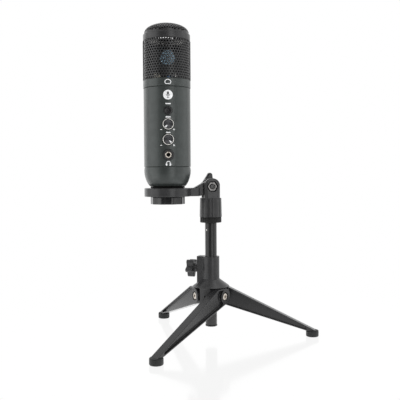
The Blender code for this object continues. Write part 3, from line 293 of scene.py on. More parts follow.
PLUG_H = 5.0 * MM
PLUG_DEEP = 3.0 * MM
PLUG_NOTCH = 1.0 * MM
PLUG_ROUND = 0.6 * MM
PLUG_EDGE = 0.2 * MM
PLUG_AT = -10.0 * MM
PLUG_UP = 8.5 * MM
LEAD_SCREW_R = 2.0 * MM
LEAD_SCREW_TOP = 1.2 * MM
LEAD_SCREW_SLOT = 0.2 * MM
LEAD_SCREW_AT = 7.5 * MM
LEAD_SCREW_UP = 12.0 * MM
CAN_R = 1.6 * MM
CAN_L = 2.6 * MM
CAN_AT = 1.5 * MM
CAN_UP = 10.0 * MM
CAPSULE_RIM_W = 1.3 * MM
CAPSULE_LAND = 1.0 * MM
CAPSULE_DISH = 0.5 * MM
CAPSULE_EDGE = 0.3 * MM
CAPSULE_IN_EDGE = 0.2 * MM
CONTACT_R = 1.3 * MM
CONTACT_H = 0.6 * MM

# ---- controls
MUTE_R = 4.0 * MM
MUTE_EDGE = 0.5 * MM
MUTE_DISH = 0.25 * MM
MUTE_GAP = 0.35 * MM
MUTE_PRINT_SUNK = 0.06 * MM
MUTE_SIGN_R = 2.1 * MM
MUTE_SIGN_IN_R = 1.7 * MM
MUTE_SIGN_DOWN = 0.2 * MM
MUTE_SIGN_ENDS = (radians(120), radians(420))
MUTE_SIGN_STEPS = 24
MUTE_BAR_HALF = 0.2 * MM
MUTE_BAR_TOP = 2.2 * MM
KNOB_EDGE = 0.35 * MM
TRIM_R = 5.35 * MM
TRIM_IN_R = 4.65 * MM
TRIM_H = 1.6 * MM
TRIM_EDGE = 0.45 * MM
TRIM_IN_EDGE = 0.25 * MM
TRIM_LOW_EDGE = 0.2 * MM
TRIM_GAP = 0.5 * MM
CAP_R = 4.3 * MM
CAP_DEPTH = 0.35 * MM
CAP_GAP = 0.05 * MM
POINTER_IN = 1.5 * MM
POINTER_OUT = 4.3 * MM
POINTER_NARROW = 0.35 * MM
POINTER_WIDE = 0.85 * MM
GAIN_POINTER = radians(-133.0)  # bearing of the pointer on the face, from +X
VOLUME_POINTER = radians(-47.0)
JACK_R = 3.0 * MM
JACK_BORE_R = 2.0 * MM
JACK_EDGE = 0.5 * MM
JACK_DEPTH = 9.0 * MM
JACK_RING_L = 3.0 * MM
WASHER_R = 5.6 * MM
WASHER_EDGE = 0.3 * MM
WASHER_H = 1.2 * MM
WASHER_GAP = 0.1 * MM

# ---- signs
PRINT_LIFT = 0.05 * MM  # printed signs above the surface
PRINT_WALL = 0.04 * MM
PRINT_STEP = 0.6 * MM  # widest flat stretch of a printed sign
SIGN_STEPS = 20
BADGE_UP = 245.7 * MM
BADGE_R = 4.7 * MM
PICKUP_UP = 258.0 * MM
HEADPHONES_UP = 179.3 * MM
LABELS_UP = (237.1 * MM, 224.2 * MM, 209.2 * MM)
LABEL_W = (5.0 * MM, 5.0 * MM, 4.2 * MM)
LABEL_H = 1.1 * MM
RANGES_UP = (212.1 * MM, 196.8 * MM)
MINUS_AT = -6.9 * MM
PLUS_AT = 5.7 * MM
RANGE_SIZE = 0.95 * MM
RANGE_STROKE = 0.28 * MM
PICKUP_HALF_W = 2.9 * MM
PICKUP_HALF_H = 2.35 * MM
PICKUP_DENT = 0.30  # share of its size that the notch takes
PICKUP_DENT_TURN = radians(24)  # half width of the notch
PICKUP_STROKE = 0.36 * MM  # half the line's width
HEADBAND_R = (2.25 * MM, 1.55 * MM)
HEADPHONES_PAD = [(2.75, -0.4), (2.75, -1.6), (1.95, -2.35), (1.1, -2.35), (1.1, -0.4), (1.55, -0.3)]
BADGE_HEAD = (0.95 * MM, -0.3 * MM, 3.1 * MM)  # half width, bottom and top, from the badge's middle
BADGE_HEAD_ROUND = 0.9 * MM
BADGE_HEAD_STEPS = 8
BADGE_CRADLE_R = (2.0 * MM, 1.5 * MM)
BADGE_CRADLE_UP = 0.6 * MM
BADGE_STEM = (0.25 * MM, -2.6 * MM, -1.5 * MM)
BADGE_BASE = (1.3 * MM, -3.0 * MM, -2.55 * MM)

TO_FRONT = Matrix.Rotation(pi / 2, 4, "X")  # local Z to -Y
TO_BACK = Matrix.Rotation(-pi / 2, 4, "X")  # local Z to +Y
TO_SIDE = Matrix.Rotation(pi / 2, 4, "Y")  # local Z to +X


# ---- outlines
def arc(centre, radius, start, end, steps=ARC_STEPS):
    """Points on an arc, both ends included."""
    turns = [start + (end - start) * i / steps for i in range(steps + 1)]
    return [(centre[0] + radius * cos(t), centre[1] + radius * sin(t)) for t in turns]


def band(outer, inner, start, end, steps=SMALL_SIDES, centre=(0.0, 0.0)):
    """Curved band between two radii."""
    return arc(centre, outer, start, end, steps) + arc(centre, inner, end, start, steps)


def circle(radius, sides=SMALL_SIDES, centre=(0.0, 0.0)):
    return arc(centre, radius, 0.0, 2 * pi, sides)[:-1]


def rectangle(left, right, low, high):
    return [(left, low), (right, low), (right, high), (left, high)]


def hexagon(flats, centre=(0.0, 0.0)):
    return circle(flats / sqrt(3), 6, centre)


def rounded(corners, steps=EDGE_STEPS):
    """Closed outline through corners (x, y), or (x, y, radius) where a corner is rounded."""
    points = []
    for i, corner in enumerate(corners):
        here = Vector(corner[:2])
        if len(corner) == 2 or not corner[2]:
            points.append(tuple(here))
            continue
        before = (Vector(corners[i - 1][:2]) - here).normalized()
        after = (Vector(corners[(i + 1) % len(corners)][:2]) - here).normalized()
        half = before.angle(after) / 2
        centre = here + (before + after).normalized() * corner[2] / sin(half)
        first = here + before * corner[2] / tan(half) - centre
        last = here + after * corner[2] / tan(half) - centre
        start = atan2(first.y, first.x)
        sweep = (atan2(last.y, last.x) - start + pi) % (2 * pi) - pi
        points += arc(centre, corner[2], start, start + sweep, steps)
    return points


def wall(inner, outer, low, high, low_edge=0.0, high_edge=0.0, in_edge=0.0):
    """Profile of a round wall, its outer edges rounded, and the upper inner one."""
    return rounded([(inner, low), (outer, low, low_edge), (outer, high, high_edge),
                    (inner, high, in_edge)])


def star(lobes, lobe_at, lobe_r, valley_r, turn):
    """Outline of a lobed hand knob: round lobes with hollows between."""
    points = []
    for i in range(lobes):
        middle = turn + 2 * pi * i / lobes
        centre = (lobe_at * cos(middle), lobe_at * sin(middle))
        points += arc(centre, lobe_r, middle - pi / 2, middle + pi / 2)
        valley = middle + pi / lobes
        points.append((valley_r * cos(valley), valley_r * sin(valley)))
    return points


def fluted(radius, depth, count, share, steps=4):
    """A circle cut by shallow round flutes, each taking a share of its pitch."""
    points = []
    pitch = 2 * pi / count
    for i in range(count):
        start = i * pitch
        land = pitch * (1 - share)
        points += arc((0, 0), radius, start, start + land, steps)
        for k in range(1, 2 * steps):
            along = k / (2 * steps)
            sunk = radius - depth * sin(pi * along)
            turn = start + land + pitch * share * along
            points.append((sunk * cos(turn), sunk * sin(turn)))
    return points


# ---- solids
def in_scene(name, data):
    """New object of this data, linked to the scene."""
    obj = bpy.data.objects.new(name, data)
    bpy.context.scene.collection.objects.link(obj)
    return obj


def as_mesh(bm):
    mesh = bpy.data.meshes.new("mesh")
    bm.to_mesh(mesh)
    bm.free()
    return mesh


def welded(bm):
    """Weld and orient a bmesh and return it as a mesh."""
    bmesh.ops.remove_doubles(bm, verts=bm.verts, dist=WELD)
    bmesh.ops.recalc_face_normals(bm, faces=bm.faces)
    return as_mesh(bm)


def turned(profile, sides=SIDES, pose=None):
    """Solid of revolution about Z from a closed outline of (radius, height)."""
    bm = bmesh.new()
    turns = [2 * pi * i / sides for i in range(sides)]
    rings = []
    for radius, height in profile:
        if radius < WELD:
            rings.append([bm.verts.new((0, 0, height))] * sides)
        else:
            rings.append([bm.verts.new((radius * cos(t), radius * sin(t), height)) for t in turns])
    for ring, following in zip(rings, rings[1:] + rings[:1]):
        for i in range(sides):
            j = (i + 1) % sides
            corners = dict.fromkeys((ring[i], ring[j], following[j], following[i]))
            if len(corners) > 2:
                bm.faces.new(list(corners))
    mesh = welded(bm)
    if pose:
        mesh.transform(pose)
    return mesh


def fronted(profile):
    """Small turned piece whose axis points at the viewer."""
    return turned(profile, SMALL_SIDES, TO_FRONT)


def prism(outline, low, high, axis="Z"):
    """Closed solid between two copies of an outline, spread along an axis."""
    places = {
        "X": lambda a, b, along: (along, a, b),
        "Y": lambda a, b, along: (a, along, b),
        "Z": lambda a, b, along: (a, b, along),
    }
    bm = bmesh.new()
    bottom = [bm.verts.new(places[axis](a, b, low)) for a, b in outline]
    top = [bm.verts.new(places[axis](a, b, high)) for a, b in outline]
    bm.faces.new(bottom)
    bm.faces.new(top)
    for i in range(len(outline)):
        j = (i + 1) % len(outline)
        bm.faces.new((bottom[i], bottom[j], top[j], top[i]))
    return welded(bm)


def rod(radius, low, high, axis="Z", sides=SMALL_SIDES, centre=(0.0, 0.0)):
    return prism(circle(radius, sides, centre), low, high, axis)


def evaluated(mesh, modify):
    """Copy of a mesh with the modifiers that modify(object) adds applied to it."""
    holder = in_scene("holder", mesh)
    modify(holder)
    graph = bpy.context.evaluated_depsgraph_get()
    made = bpy.data.meshes.new_from_object(holder.evaluated_get(graph))
    bpy.data.objects.remove(holder)
    return made


def combined(mesh, operation, *tools):
    """The mesh after a boolean operation with each tool mesh in turn."""
    helpers = []

    def modify(holder):
        for tool in tools:
            helpers.append(in_scene("tool", tool))
            modifier = holder.modifiers.new(operation, "BOOLEAN")
            modifier.operation = operation
            modifier.object = helpers[-1]

    made = evaluated(mesh, modify)
    for helper in helpers:
        bpy.data.objects.remove(helper)
    return made


def cut(mesh, *tools):
    return combined(mesh, "DIFFERENCE", *tools)


def added(mesh, *tools):
    return combined(mesh, "UNION", *tools)


def add_edge(obj, width, steps=EDGE_STEPS):
    """Round the sharp edges of an object and keep its flat faces flat."""
    bevel = obj.modifiers.new("edge", "BEVEL")
    bevel.width = width
    bevel.segments = steps
    bevel.limit_method = "ANGLE"
    bevel.angle_limit = SHARP
    bevel.use_clamp_overlap = False
    bevel.miter_outer = "MITER_ARC"
    normals = obj.modifiers.new("normals", "WEIGHTED_NORMAL")
    normals.keep_sharp = True


def eased(mesh, width, steps=EDGE_STEPS):
    """Copy of a mesh with its sharp edges rounded."""
    return evaluated(mesh, lambda holder: add_edge(holder, width, steps))


def shift(x=0.0, y=0.0, z=0.0):
    return Matrix.Translation((x, y, z))


def spin(turn, axis="Z"):
    return Matrix.Rotation(turn, 4, axis)


def placed(mesh, matrix):
    mesh.transform(matrix)
    return mesh


# ---- perforated sheet
def hole_cell(bm, layer, centre):
    """One hexagonal cell of sheet round a hole, whose rim is marked in the layer."""
    rim, edge = [], []
    for i in range(HOLE_SIDES):
        turn = pi / 6 + 2 * pi * i / HOLE_SIDES
        lean = (turn + pi / 6) % (pi / 3) - pi / 6
        reach = HOLE_PITCH / 2 / cos(lean)
        for radius, ring in ((HOLE_R, rim), (reach, edge)):
            x = centre[0] + radius * cos(turn)
            y = centre[1] + radius * sin(turn)
            ring.append(bm.verts.new((x, y, 0)))
    for vert in rim:
        vert[layer] = 1
    for i in range(HOLE_SIDES):
        j = (i + 1) % HOLE_SIDES
        bm.faces.new((rim[i], edge[i], edge[j], rim[j]))


def cells(centres):
    """Flat sheet of cells, and its outer border as a list of edges."""
    bm = bmesh.new()
    layer = bm.verts.layers.int.new("rim")
    for centre in centres:
        hole_cell(bm, layer, centre)
    bmesh.ops.remove_doubles(bm, verts=bm.verts, dist=CELL_WELD)
    border = [e for e in bm.edges if e.is_boundary and not e.verts[0][layer]]
    return bm, border


def hole_rows(rows, across):
    """Centres of holes in staggered rows, the long rows first."""
    centres = []
    for row in range(rows):
        short = row % 2
        y = (row - (rows - 1) / 2) * HOLE_RISE
        count = 2 * across + 1 - short
        centres += [((k - (count - 1) / 2) * HOLE_PITCH, y) for k in range(count)]
    return centres


def grille_sheet(width, height):
    """Flat rectangle of perforated sheet: its border cells are stretched to the edges."""
    bm, border = cells(hole_rows(HOLE_ROWS, HOLES_ACROSS))
    corner = (HOLE_ROWS - 1) / 2 * HOLE_RISE + HOLE_PITCH / sqrt(12)
    side = HOLES_ACROSS * HOLE_PITCH
    for vert in {v for edge in border for v in edge.verts}:
        x, y = vert.co.x, vert.co.y
        if abs(y) > corner - NEARLY:
            vert.co.y = height / 2 if y > 0 else -height / 2
        if abs(x) > side - NEARLY and abs(y) < corner + NEARLY:
            vert.co.x = width / 2 if x > 0 else -width / 2
    return bm


def wrapped(bm, radius, middle, up):
    """Bend a flat sheet round the Z axis: X becomes the way round, Y the height."""
    for vert in bm.verts:
        turn = middle + vert.co.x / radius
        vert.co = Vector((radius * cos(turn), radius * sin(turn), vert.co.y + up))


def thickened(bm, thick, axis_height=None):
    """A curved sheet made solid: its outer face, away from the Z axis or a point on it, is kept."""
    bm.normal_update()
    for face in bm.faces:
        middle = face.calc_center_median()
        inside = Vector((0, 0, middle.z if axis_height is None else axis_height))
        if face.normal.dot(middle - inside) < 0:
            face.normal_flip()

    def modify(holder):
        solid = holder.modifiers.new("wall", "SOLIDIFY")
        solid.thickness = thick
        solid.offset = -1.0

    return evaluated(as_mesh(bm), modify)


def grille_half(middle, low, high):
    bm = grille_sheet(SHEET_R * SHEET_SPAN, high - low)
    wrapped(bm, SHEET_R, middle, (low + high) / 2)
    return thickened(bm, SHEET_WALL)


def dome_profile(base):
    """Points (radius, height) down the dome from its crown, with the length of the way so far."""
    turns = [pi / 2 * i / DOME_STEPS for i in range(DOME_STEPS + 1)]
    points = [(DOME_R * sin(t), base + DOME_STRAIGHT + DOME_RISE * cos(t)) for t in turns]
    points.append((DOME_R, base - DOME_STRAIGHT))
    lengths = [0.0]
    for (r0, z0), (r1, z1) in zip(points, points[1:]):
        lengths.append(lengths[-1] + sqrt((r1 - r0) ** 2 + (z1 - z0) ** 2))
    return points, lengths


def dome_sheet(base):
    """Perforated dome: a flat disc of cells, filled to its edge and laid over the dome."""
    points, lengths = dome_profile(base)
    whole = lengths[-1]
    rows = 2 * int(whole / HOLE_RISE) + 1
    across = int(whole / HOLE_PITCH) + 1
    reach = whole - DOME_STRAIGHT - DOME_RIM
    centres = [c for c in hole_rows(rows, across) if sqrt(c[0] ** 2 + c[1] ** 2) < reach]
    bm, border = cells(centres)
    ring = [bm.verts.new((x, y, 0)) for x, y in circle(whole, SIDES)]
    hoop = [bm.edges.new((ring[i], ring[i - 1])) for i in range(SIDES)]
    bmesh.ops.triangle_fill(bm, use_beauty=True, edges=border + hoop, normal=(0, 0, 1))
    for vert in bm.verts:
        along = sqrt(vert.co.x ** 2 + vert.co.y ** 2)
        turn = atan2(vert.co.y, vert.co.x)
        i = next((k for k, length in enumerate(lengths) if length >= along), len(lengths) - 1)
        share = 0.0
        if i:
            share = min(1.0, (along - lengths[i - 1]) / (lengths[i] - lengths[i - 1]))
        before, after = points[max(i - 1, 0)], points[i]
        radius = before[0] + (after[0] - before[0]) * share
        height = before[1] + (after[1] - before[1]) * share
        vert.co = Vector((radius * cos(turn), radius * sin(turn), height))
    return thickened(bm, SHEET_WALL, base - DOME_R)


# ---- materials
# Each finish: its slot in the record, colour, roughness, size of its grain and the grain's depth
# (both in mm), and what else differs from surface()'s usual values.
FINISHES = {
    "body_paint": ("body_paint", (0.043, 0.050, 0.048), 0.36, 0.22, 0.0012,
                   dict(metallic=0.25, specular=0.55)),
    "grille_paint": ("grille_paint", (0.033, 0.033, 0.034), 0.34, 0.25, 0.0015, dict(metallic=0.2)),
    "black_plastic": ("black_plastic", (0.032, 0.032, 0.033), 0.32, 0.30, 0.0006, dict(specular=0.36)),
    "leg_plastic": ("black_plastic", (0.018, 0.018, 0.019), 0.25, 0.30, 0.0006, dict(specular=0.33)),
    "smooth_plastic": ("black_plastic", (0.014, 0.014, 0.015), 0.20, 0.50, 0.0015, {}),
    "matt_black": ("black_plastic", (0.010, 0.010, 0.010), 0.55, 0.25, 0.010, dict(specular=0.25)),
    "liner_cloth": (None, (0.006, 0.006, 0.006), 0.9, 0.35, 0.05, dict(specular=0.1)),
    "pole_paint": ("pole_paint", (0.018, 0.018, 0.018), 0.22, 0.8, 0.0010, dict(specular=0.38)),
    "rubber": ("rubber", (0.014, 0.015, 0.015), 0.55, 0.25, 0.010, dict(specular=0.3)),
    # Rubber darkened far below the feet's: painted shade of the gap between the cup and the ring.
    "gasket_rubber_painted_shade": ("rubber", (0.004, 0.004, 0.004), 0.7, 0.25, 0.010, dict(specular=0.15)),
    "plated_steel": ("steel", (0.55, 0.54, 0.52), 0.30, 0.20, 0.004, dict(metallic=1.0)),
    "screw_steel": ("steel", (0.52, 0.48, 0.43), 0.34, 0.25, 0.010, dict(metallic=1.0)),
    "dark_steel": ("steel", (0.24, 0.235, 0.23), 0.38, 0.25, 0.008, dict(metallic=0.9)),
    "black_steel": ("steel", (0.09, 0.09, 0.09), 0.40, 0.25, 0.010, dict(metallic=0.8)),
    "bright_trim": ("steel", (0.74, 0.73, 0.70), 0.36, 0.20, 0.003, dict(metallic=1.0)),
    "brass": ("brass", (0.70, 0.54, 0.32), 0.30, 0.20, 0.004, dict(metallic=1.0)),
    "gilt_ring": ("brass", (0.80, 0.74, 0.66), 0.30, 0.20, 0.004, dict(metallic=1.0)),
    "spun_cap": ("black_plastic", (0.10, 0.101, 0.107), 0.28, 0.20, 0.002, dict(metallic=0.9, spun=0.85)),
    "white_print": (None, (0.86, 0.87, 0.88), 0.45, 0.15, 0.004, dict(mottle=0.04)),
    "dark_print": (None, (0.050, 0.052, 0.055), 0.45, 0.15, 0.004, {}),
    "grey_print": (None, (0.13, 0.13, 0.135), 0.45, 0.15, 0.004, {}),
    "capsule_metal": ("capsule_metal", (0.36, 0.52, 0.64), 0.30, 0.30, 0.004, dict(metallic=0.7)),
    "ivory_plastic": (None, (0.78, 0.74, 0.62), 0.40, 0.30, 0.006, {}),
    "blue_sleeve": (None, (0.10, 0.24, 0.50), 0.35, 0.30, 0.004, {}),
    "board_green": ("board_green", (0.02, 0.16, 0.07), 0.42, 0.40, 0.010, {}),
}
PLAIN_FINISH = {"steel": "plated_steel"}  # finish of a CAD node's slot, where it isn't of that name


def feed(tree, node, inputs):
    """Set a node's inputs to values, or link them to sockets."""
    for key, value in inputs.items():
        if isinstance(value, bpy.types.NodeSocket):
            tree.links.new(value, node.inputs[key])
        else:
            node.inputs[key].default_value = value


def wired(tree, kind, inputs=None, **settings):
    """New shader node with these inputs and settings."""
    node = tree.nodes.new("ShaderNode" + kind)
    for name, value in settings.items():
        setattr(node, name, value)
    feed(tree, node, inputs or {})
    return node


def noise(tree, size, detail):
    """Noise in the object's own coordinates, with features of about this size."""
    where = wired(tree, "TexCoord").outputs["Object"]
    return wired(tree, "TexNoise", {"Vector": where, "Scale": 1.0 / size, "Detail": detail}).outputs["Fac"]


def ranged(tree, value, source, target):
    """A value mapped from one range to another, held at its ends."""
    ends = {"From Min": source[0], "From Max": source[1], "To Min": target[0], "To Max": target[1]}
    return wired(tree, "MapRange", {"Value": value} | ends).outputs["Result"]


def worked(tree, operation, first, second):
    return wired(tree, "Math", {0: first, 1: second}, operation=operation).outputs["Value"]


def mixed(tree, share, first, second):
    """Mix of two shaders by the second one's share."""
    return wired(tree, "MixShader", {"Fac": share, 1: first, 2: second}).outputs["Shader"]


def surface(name, colour, roughness, grain, depth, metallic=0.0, mottle=MOTTLE, specular=0.5, spun=0.0):
    """Principled material with an uneven tone and gloss and a fine grain in its surface."""
    made = bpy.data.materials.new(name + FINISH_MARK)
    made.use_nodes = True
    made.diffuse_color = (*colour, 1.0)
    tree = made.node_tree
    patches = ranged(tree, noise(tree, PATCH, PATCH_DETAIL), NOISE_RANGE, (0.0, 1.0))
    fine = noise(tree, grain, GRAIN_DETAIL)
    dark = (*(c * (1 - mottle) for c in colour), 1.0)
    light = (*(min(1.0, c * (1 + mottle)) for c in colour), 1.0)
    tone = wired(tree, "Mix", {"A": dark, "B": light, "Factor": patches}, data_type="RGBA")
    gloss = ranged(tree, fine, NOISE_RANGE, (roughness * (1 - mottle), roughness * (1 + mottle)))
    bump = wired(tree, "Bump", {"Strength": 1.0, "Distance": depth, "Height": fine})
    looks = {"Metallic": metallic, "Specular IOR Level": specular, "Base Color": tone.outputs["Result"],
             "Roughness": gloss, "Normal": bump.outputs["Normal"]}
    if spun:
        tangent = wired(tree, "Tangent", direction_type="RADIAL", axis="Y")
        looks |= {"Tangent": tangent.outputs["Tangent"], "Anisotropic": spun}
    feed(tree, tree.nodes["Principled BSDF"], looks)
    return made


def finish_of(name):
    """The material of this finish, made on first use."""
    _, colour, roughness, grain, depth, own = FINISHES[name]
    made = bpy.data.materials.get(name + FINISH_MARK)
    return made or surface(name, colour, roughness, grain * MM, depth * MM, **own)


def piece(name, mesh, place, finish, body, *nodes, edge=0.0):
    """Make an object of a mesh, place it, and let it ride on a body in the CAD nodes' stead."""
    obj = in_scene(name, mesh)
    obj.matrix_world = place
    mesh.shade_smooth()
    mesh.set_sharp_from_angle(angle=SHARP)
    mesh.materials.clear()
    mesh.materials.append(finish_of(finish))
    if edge:
        add_edge(obj, edge)
    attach(obj, body)
    if nodes:
        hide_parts(*nodes)


def on_mic(name, mesh, place, finish, *nodes, edge=0.0):
    piece(name, mesh, place, finish, "microphone", *nodes, edge=edge)


# ---- places
def joint(name):
    return next(j for j in frame["joints"] if j["name"] == name)


def bearing(axis):
    return atan2(axis[1], axis[0])


def upright(x, y, z=0.0, turn=0.0):
    """Local frame that stands upright at a point, its X axis turned to a bearing."""
    return shift(x, y, z) @ spin(turn)


def extent(node):
    """Radius, lowest and highest Z of an upright round node."""
    low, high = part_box(node)
    return (high.x - low.x) / 2, low.z, high.z


def middle_of(node):
    low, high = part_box(node)
    return (low + high) / 2


def front_of(mic, node):
    """Frame on a node's front face: X to the right, Z up, origin on its axis; and its depth."""
    low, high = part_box(node)
    return shift(mic.translation.x, low.y, (low.z + high.z) / 2), high.y - low.y


# ---- tripod
def leg_edges(drop, foot_along):
    """Top and bottom edge heights of a leg as functions of the distance from its pivot."""
    top_slope = (LEG_TIP_TOP - drop - LEG_ROOT_R) / (foot_along - LEG_KNEE)
    low_slope = (LEG_TIP_BOTTOM - drop + LEG_ROOT_R) / foot_along

    def top(x):
        return LEG_ROOT_R + top_slope * max(0.0, x - LEG_KNEE)

    def bottom(x):
        return -LEG_ROOT_R + low_slope * x

    return top, bottom


def leg_outline(top, bottom, tip):
    points = arc((0, 0), LEG_ROOT_R, pi / 2, 1.5 * pi, 2 * ARC_STEPS)
    return points + [(tip, bottom(tip)), (tip, top(tip)), (LEG_KNEE, LEG_ROOT_R)]


def pocket_outline(top, bottom, end):
    """Recess in a leg's side: it leaves a rim, and a boss around the pivot."""
    low_start = -asin((LEG_ROOT_R - LEG_RIM - LEG_POCKET_LOW) / LEG_BOSS_R)
    high_start = asin((LEG_ROOT_R - LEG_RIM - LEG_POCKET_HIGH) / LEG_BOSS_R)
    low_x = LEG_BOSS_R * cos(low_start) + LEG_POCKET_LOW
    corners = [(low_x, bottom(low_x) + LEG_RIM), (end, bottom(end) + LEG_RIM)]
    corners += [(end, top(end) - LEG_RIM), (LEG_KNEE, LEG_ROOT_R - LEG_RIM)]
    return arc((0, 0), LEG_BOSS_R, high_start, low_start) + corners


def make_leg(number, place, body):
    foot_along = sqrt(FOOT_REACH ** 2 - LEG_MIDDLE ** 2) - PIVOT_ALONG
    top, bottom = leg_edges(place.translation.z, foot_along)
    tip = foot_along + LEG_TIP_PAST
    pocket = pocket_outline(top, bottom, foot_along - FOOT_R)
    seat = LEG_FACE - SCREW_SUNK - SCREW_HEAD_H - GAP
    leg = cut(
        prism(leg_outline(top, bottom, tip), LEG_INNER, LEG_FACE, "Y"),
        prism(pocket, LEG_FACE - LEG_POCKET_FRONT, LEG_FACE + PAST, "Y"),
        prism(pocket, LEG_INNER - PAST, LEG_INNER + LEG_POCKET_BACK, "Y"),
        rod(SCREW_RECESS_R, seat, LEG_FACE + PAST, "Y"),
    )
    piece(f"leg_{number}_shell", leg, place, "leg_plastic", body, f"leg_{number}", edge=LEG_EDGE)
    make_foot(number, place, body, foot_along, bottom, tip)
    make_leg_screw(number, place)


def make_foot(number, place, body, foot_along, bottom, tip):
    """Rubber foot, notched for the leg's tip."""
    ground = -place.translation.z
    top = ground + FOOT_H
    foot = turned(wall(0, FOOT_R, ground, top, FOOT_EDGE, FOOT_EDGE), SMALL_SIDES)
    start = foot_along - FOOT_R - PAST
    end = tip + GAP
    slot = [(start, bottom(start) - GAP), (end, bottom(end) - GAP), (end, top + PAST), (start, top + PAST)]
    foot = cut(placed(foot, shift(foot_along, LEG_MIDDLE)),
               prism(slot, LEG_INNER - GAP, LEG_FACE + GAP, "Y"))
    piece(f"foot_{number}_pad", foot, place, "rubber", body, f"foot_{number}", edge=FOOT_NOTCH_EDGE)


def make_leg_screw(number, place):
    """Cheese-head screw with a hex drive, in the recess of the leg's boss."""
    high = LEG_FACE - SCREW_SUNK
    low = high - SCREW_HEAD_H
    shank = LEG_INNER - PAST
    screw = turned(rounded([(0, shank), (SCREW_R, shank), (SCREW_R, low), (SCREW_HEAD_R, low),
                            (SCREW_HEAD_R, high, SCREW_ROUND), (0, high)]), SMALL_SIDES)
    drive = prism(hexagon(SCREW_DRIVE), high - SCREW_DRIVE_DEPTH, high + PAST)
    piece(f"leg_screw_{number}_head", placed(cut(screw, drive), TO_BACK), place, "screw_steel",
          "stand", f"leg_screw_{number}", edge=SCREW_EDGE)


def make_hub(pole, legs, clamp_turn):
    """Collar, cone and skirt with the clamp's block, and a bay and a vent for each leg."""
    bore = extent("pole")[0] + GAP
    pivot_z = legs[0].translation.z
    roof = pivot_z + LEG_ROOT_R + ROOM
    cone_top = roof + CONE_H
    collar_top = cone_top + COLLAR_H
    hub = turned([(bore, HUB_BOTTOM), (HUB_R, HUB_BOTTOM), (HUB_R, roof - SKIRT_EDGE),
                  (HUB_SKIRT_R, roof + SKIRT_EDGE / 2), (COLLAR_R, cone_top), (COLLAR_R, collar_top),
                  (bore, collar_top)])
    block = prism(rectangle(COLLAR_R - HUB_WALL, CLAMP_REACH, -CLAMP_HALF, CLAMP_HALF),
                  roof + PAST, collar_top)
    hub = added(hub, placed(block, spin(clamp_turn)))
    tools = []
    for leg in legs:
        local = pole.inverted() @ leg
        bay = rectangle(-LEG_ROOT_R - ROOM, 2 * HUB_R, HUB_BOTTOM - pivot_z - PAST, roof - pivot_z)
        tools.append(placed(prism(bay, LEG_INNER - GAP, 2 * HUB_R, "Y"), local))
        tools.append(placed(vent(), local @ vent_place()))
    piece("hub_shell", cut(hub, *tools), pole, "black_plastic", "stand", "hub", edge=HUB_EDGE)


def vent():
    return prism(rectangle(-VENT_W / 2, VENT_W / 2, -VENT_H / 2, VENT_H / 2),
                 HUB_R - VENT_DEPTH, HUB_R + PAST, "X")


def vent_place():
    """Middle of the lug between two legs, from a leg's pivot."""
    across = asin(LEG_INNER / HUB_R)
    lug = (2 * pi / 3 + across + acos(-(LEG_ROOT_R + ROOM) / HUB_R)) / 2
    return shift(-PIVOT_ALONG) @ spin(lug)


def make_hand_knob(name, body, sizes, place, start, axis, pose):
    """Lobed knob on a stem, with a dish in its end."""
    lobes_at = start + sizes["stem_l"]
    end = lobes_at + sizes["length"]
    knob = eased(prism(star(**sizes["star"]), lobes_at, end, axis), sizes["edge"], SOFT_STEPS)
    knob = added(knob, rod(sizes["stem_r"], start, lobes_at + PAST, axis))
    floor = end - sizes["dish_depth"]
    dish = [(0, floor), (sizes["dish_r"], floor + DISH_RISE), (sizes["dish_rim_r"], end + PAST),
            (0, end + PAST)]
    knob = cut(knob, turned(dish, SMALL_SIDES, pose))
    piece(f"{name}_shell", knob, place, "black_plastic", body, name, edge=HAND_KNOB_EDGE)


# ---- pole
def make_pole(pole):
    """Tube, the pin's end in its hole, and the rubber plug in its lower end."""
    radius, low, high = extent("pole")
    pin_at = middle_of("pole_pin") - pole.translation
    turn = spin(atan2(pin_at.y, pin_at.x))
    hole = rod(PIN_R + PIN_GAP, 0, radius + PAST, "X", centre=(0, pin_at.z))
    tube = turned(wall(radius - POLE_WALL, radius, low, high, 0, POLE_EDGE, POLE_IN_EDGE))
    piece("pole_tube", cut(tube, placed(hole, turn)), pole, "pole_paint", "mast", "pole")
    pin = turned(wall(0, PIN_R, 0, radius - PIN_SHORT, 0, PIN_EDGE), SMALL_SIDES, TO_SIDE)
    piece("pole_pin_end", pin, pole @ turn @ shift(z=pin_at.z), "plated_steel", "mast", "pole_pin")
    shank = radius - POLE_PLUG_IN
    seat = low - THIN_GAP
    radius, low, high = extent("pole_plug")
    plug = turned(rounded([(0, low), (radius, low, POLE_PLUG_LOW_EDGE), (radius, seat, POLE_PLUG_HIGH_EDGE),
                           (shank, seat), (shank, high), (0, high)]))
    piece("pole_plug_cap", plug, pole, "rubber", "mast", "pole_plug")


def make_lock_ring(pole):
    radius, low, high = extent("lock_ring")
    outline = fluted(radius, LOCK_RING_GROOVE, LOCK_RING_GROOVES, LOCK_RING_SHARE, LOCK_RING_STEPS)
    ring = eased(prism(outline, low, high), LOCK_RING_EDGE, LOCK_RING_STEPS)
    ring = cut(ring, rod(LOCK_RING_BORE_R, low - PAST, high + PAST))
    piece("lock_ring_shell", ring, pole, "matt_black", "locking_ring", "lock_ring")


# ---- clevis
def ear_outline(tilt_z, shoulder):
    side = asin(EAR_HALF_W / EAR_TOP_R)
    top = arc((0, tilt_z), EAR_TOP_R, pi / 2 - side, pi / 2 + side, 2 * ARC_STEPS)
    foot = shoulder - EAR_SINK - 2 * EAR_EDGE
    return [(-EAR_HALF_W, foot), (EAR_HALF_W, foot)] + top


def tapered(outline, low, high, scale):
    """Prism whose top is a scaled copy of its bottom."""
    mesh = prism(outline, low, high)
    for vert in mesh.vertices:
        if vert.co.z > (low + high) / 2:
            vert.co.x *= scale
            vert.co.y *= scale
    return mesh


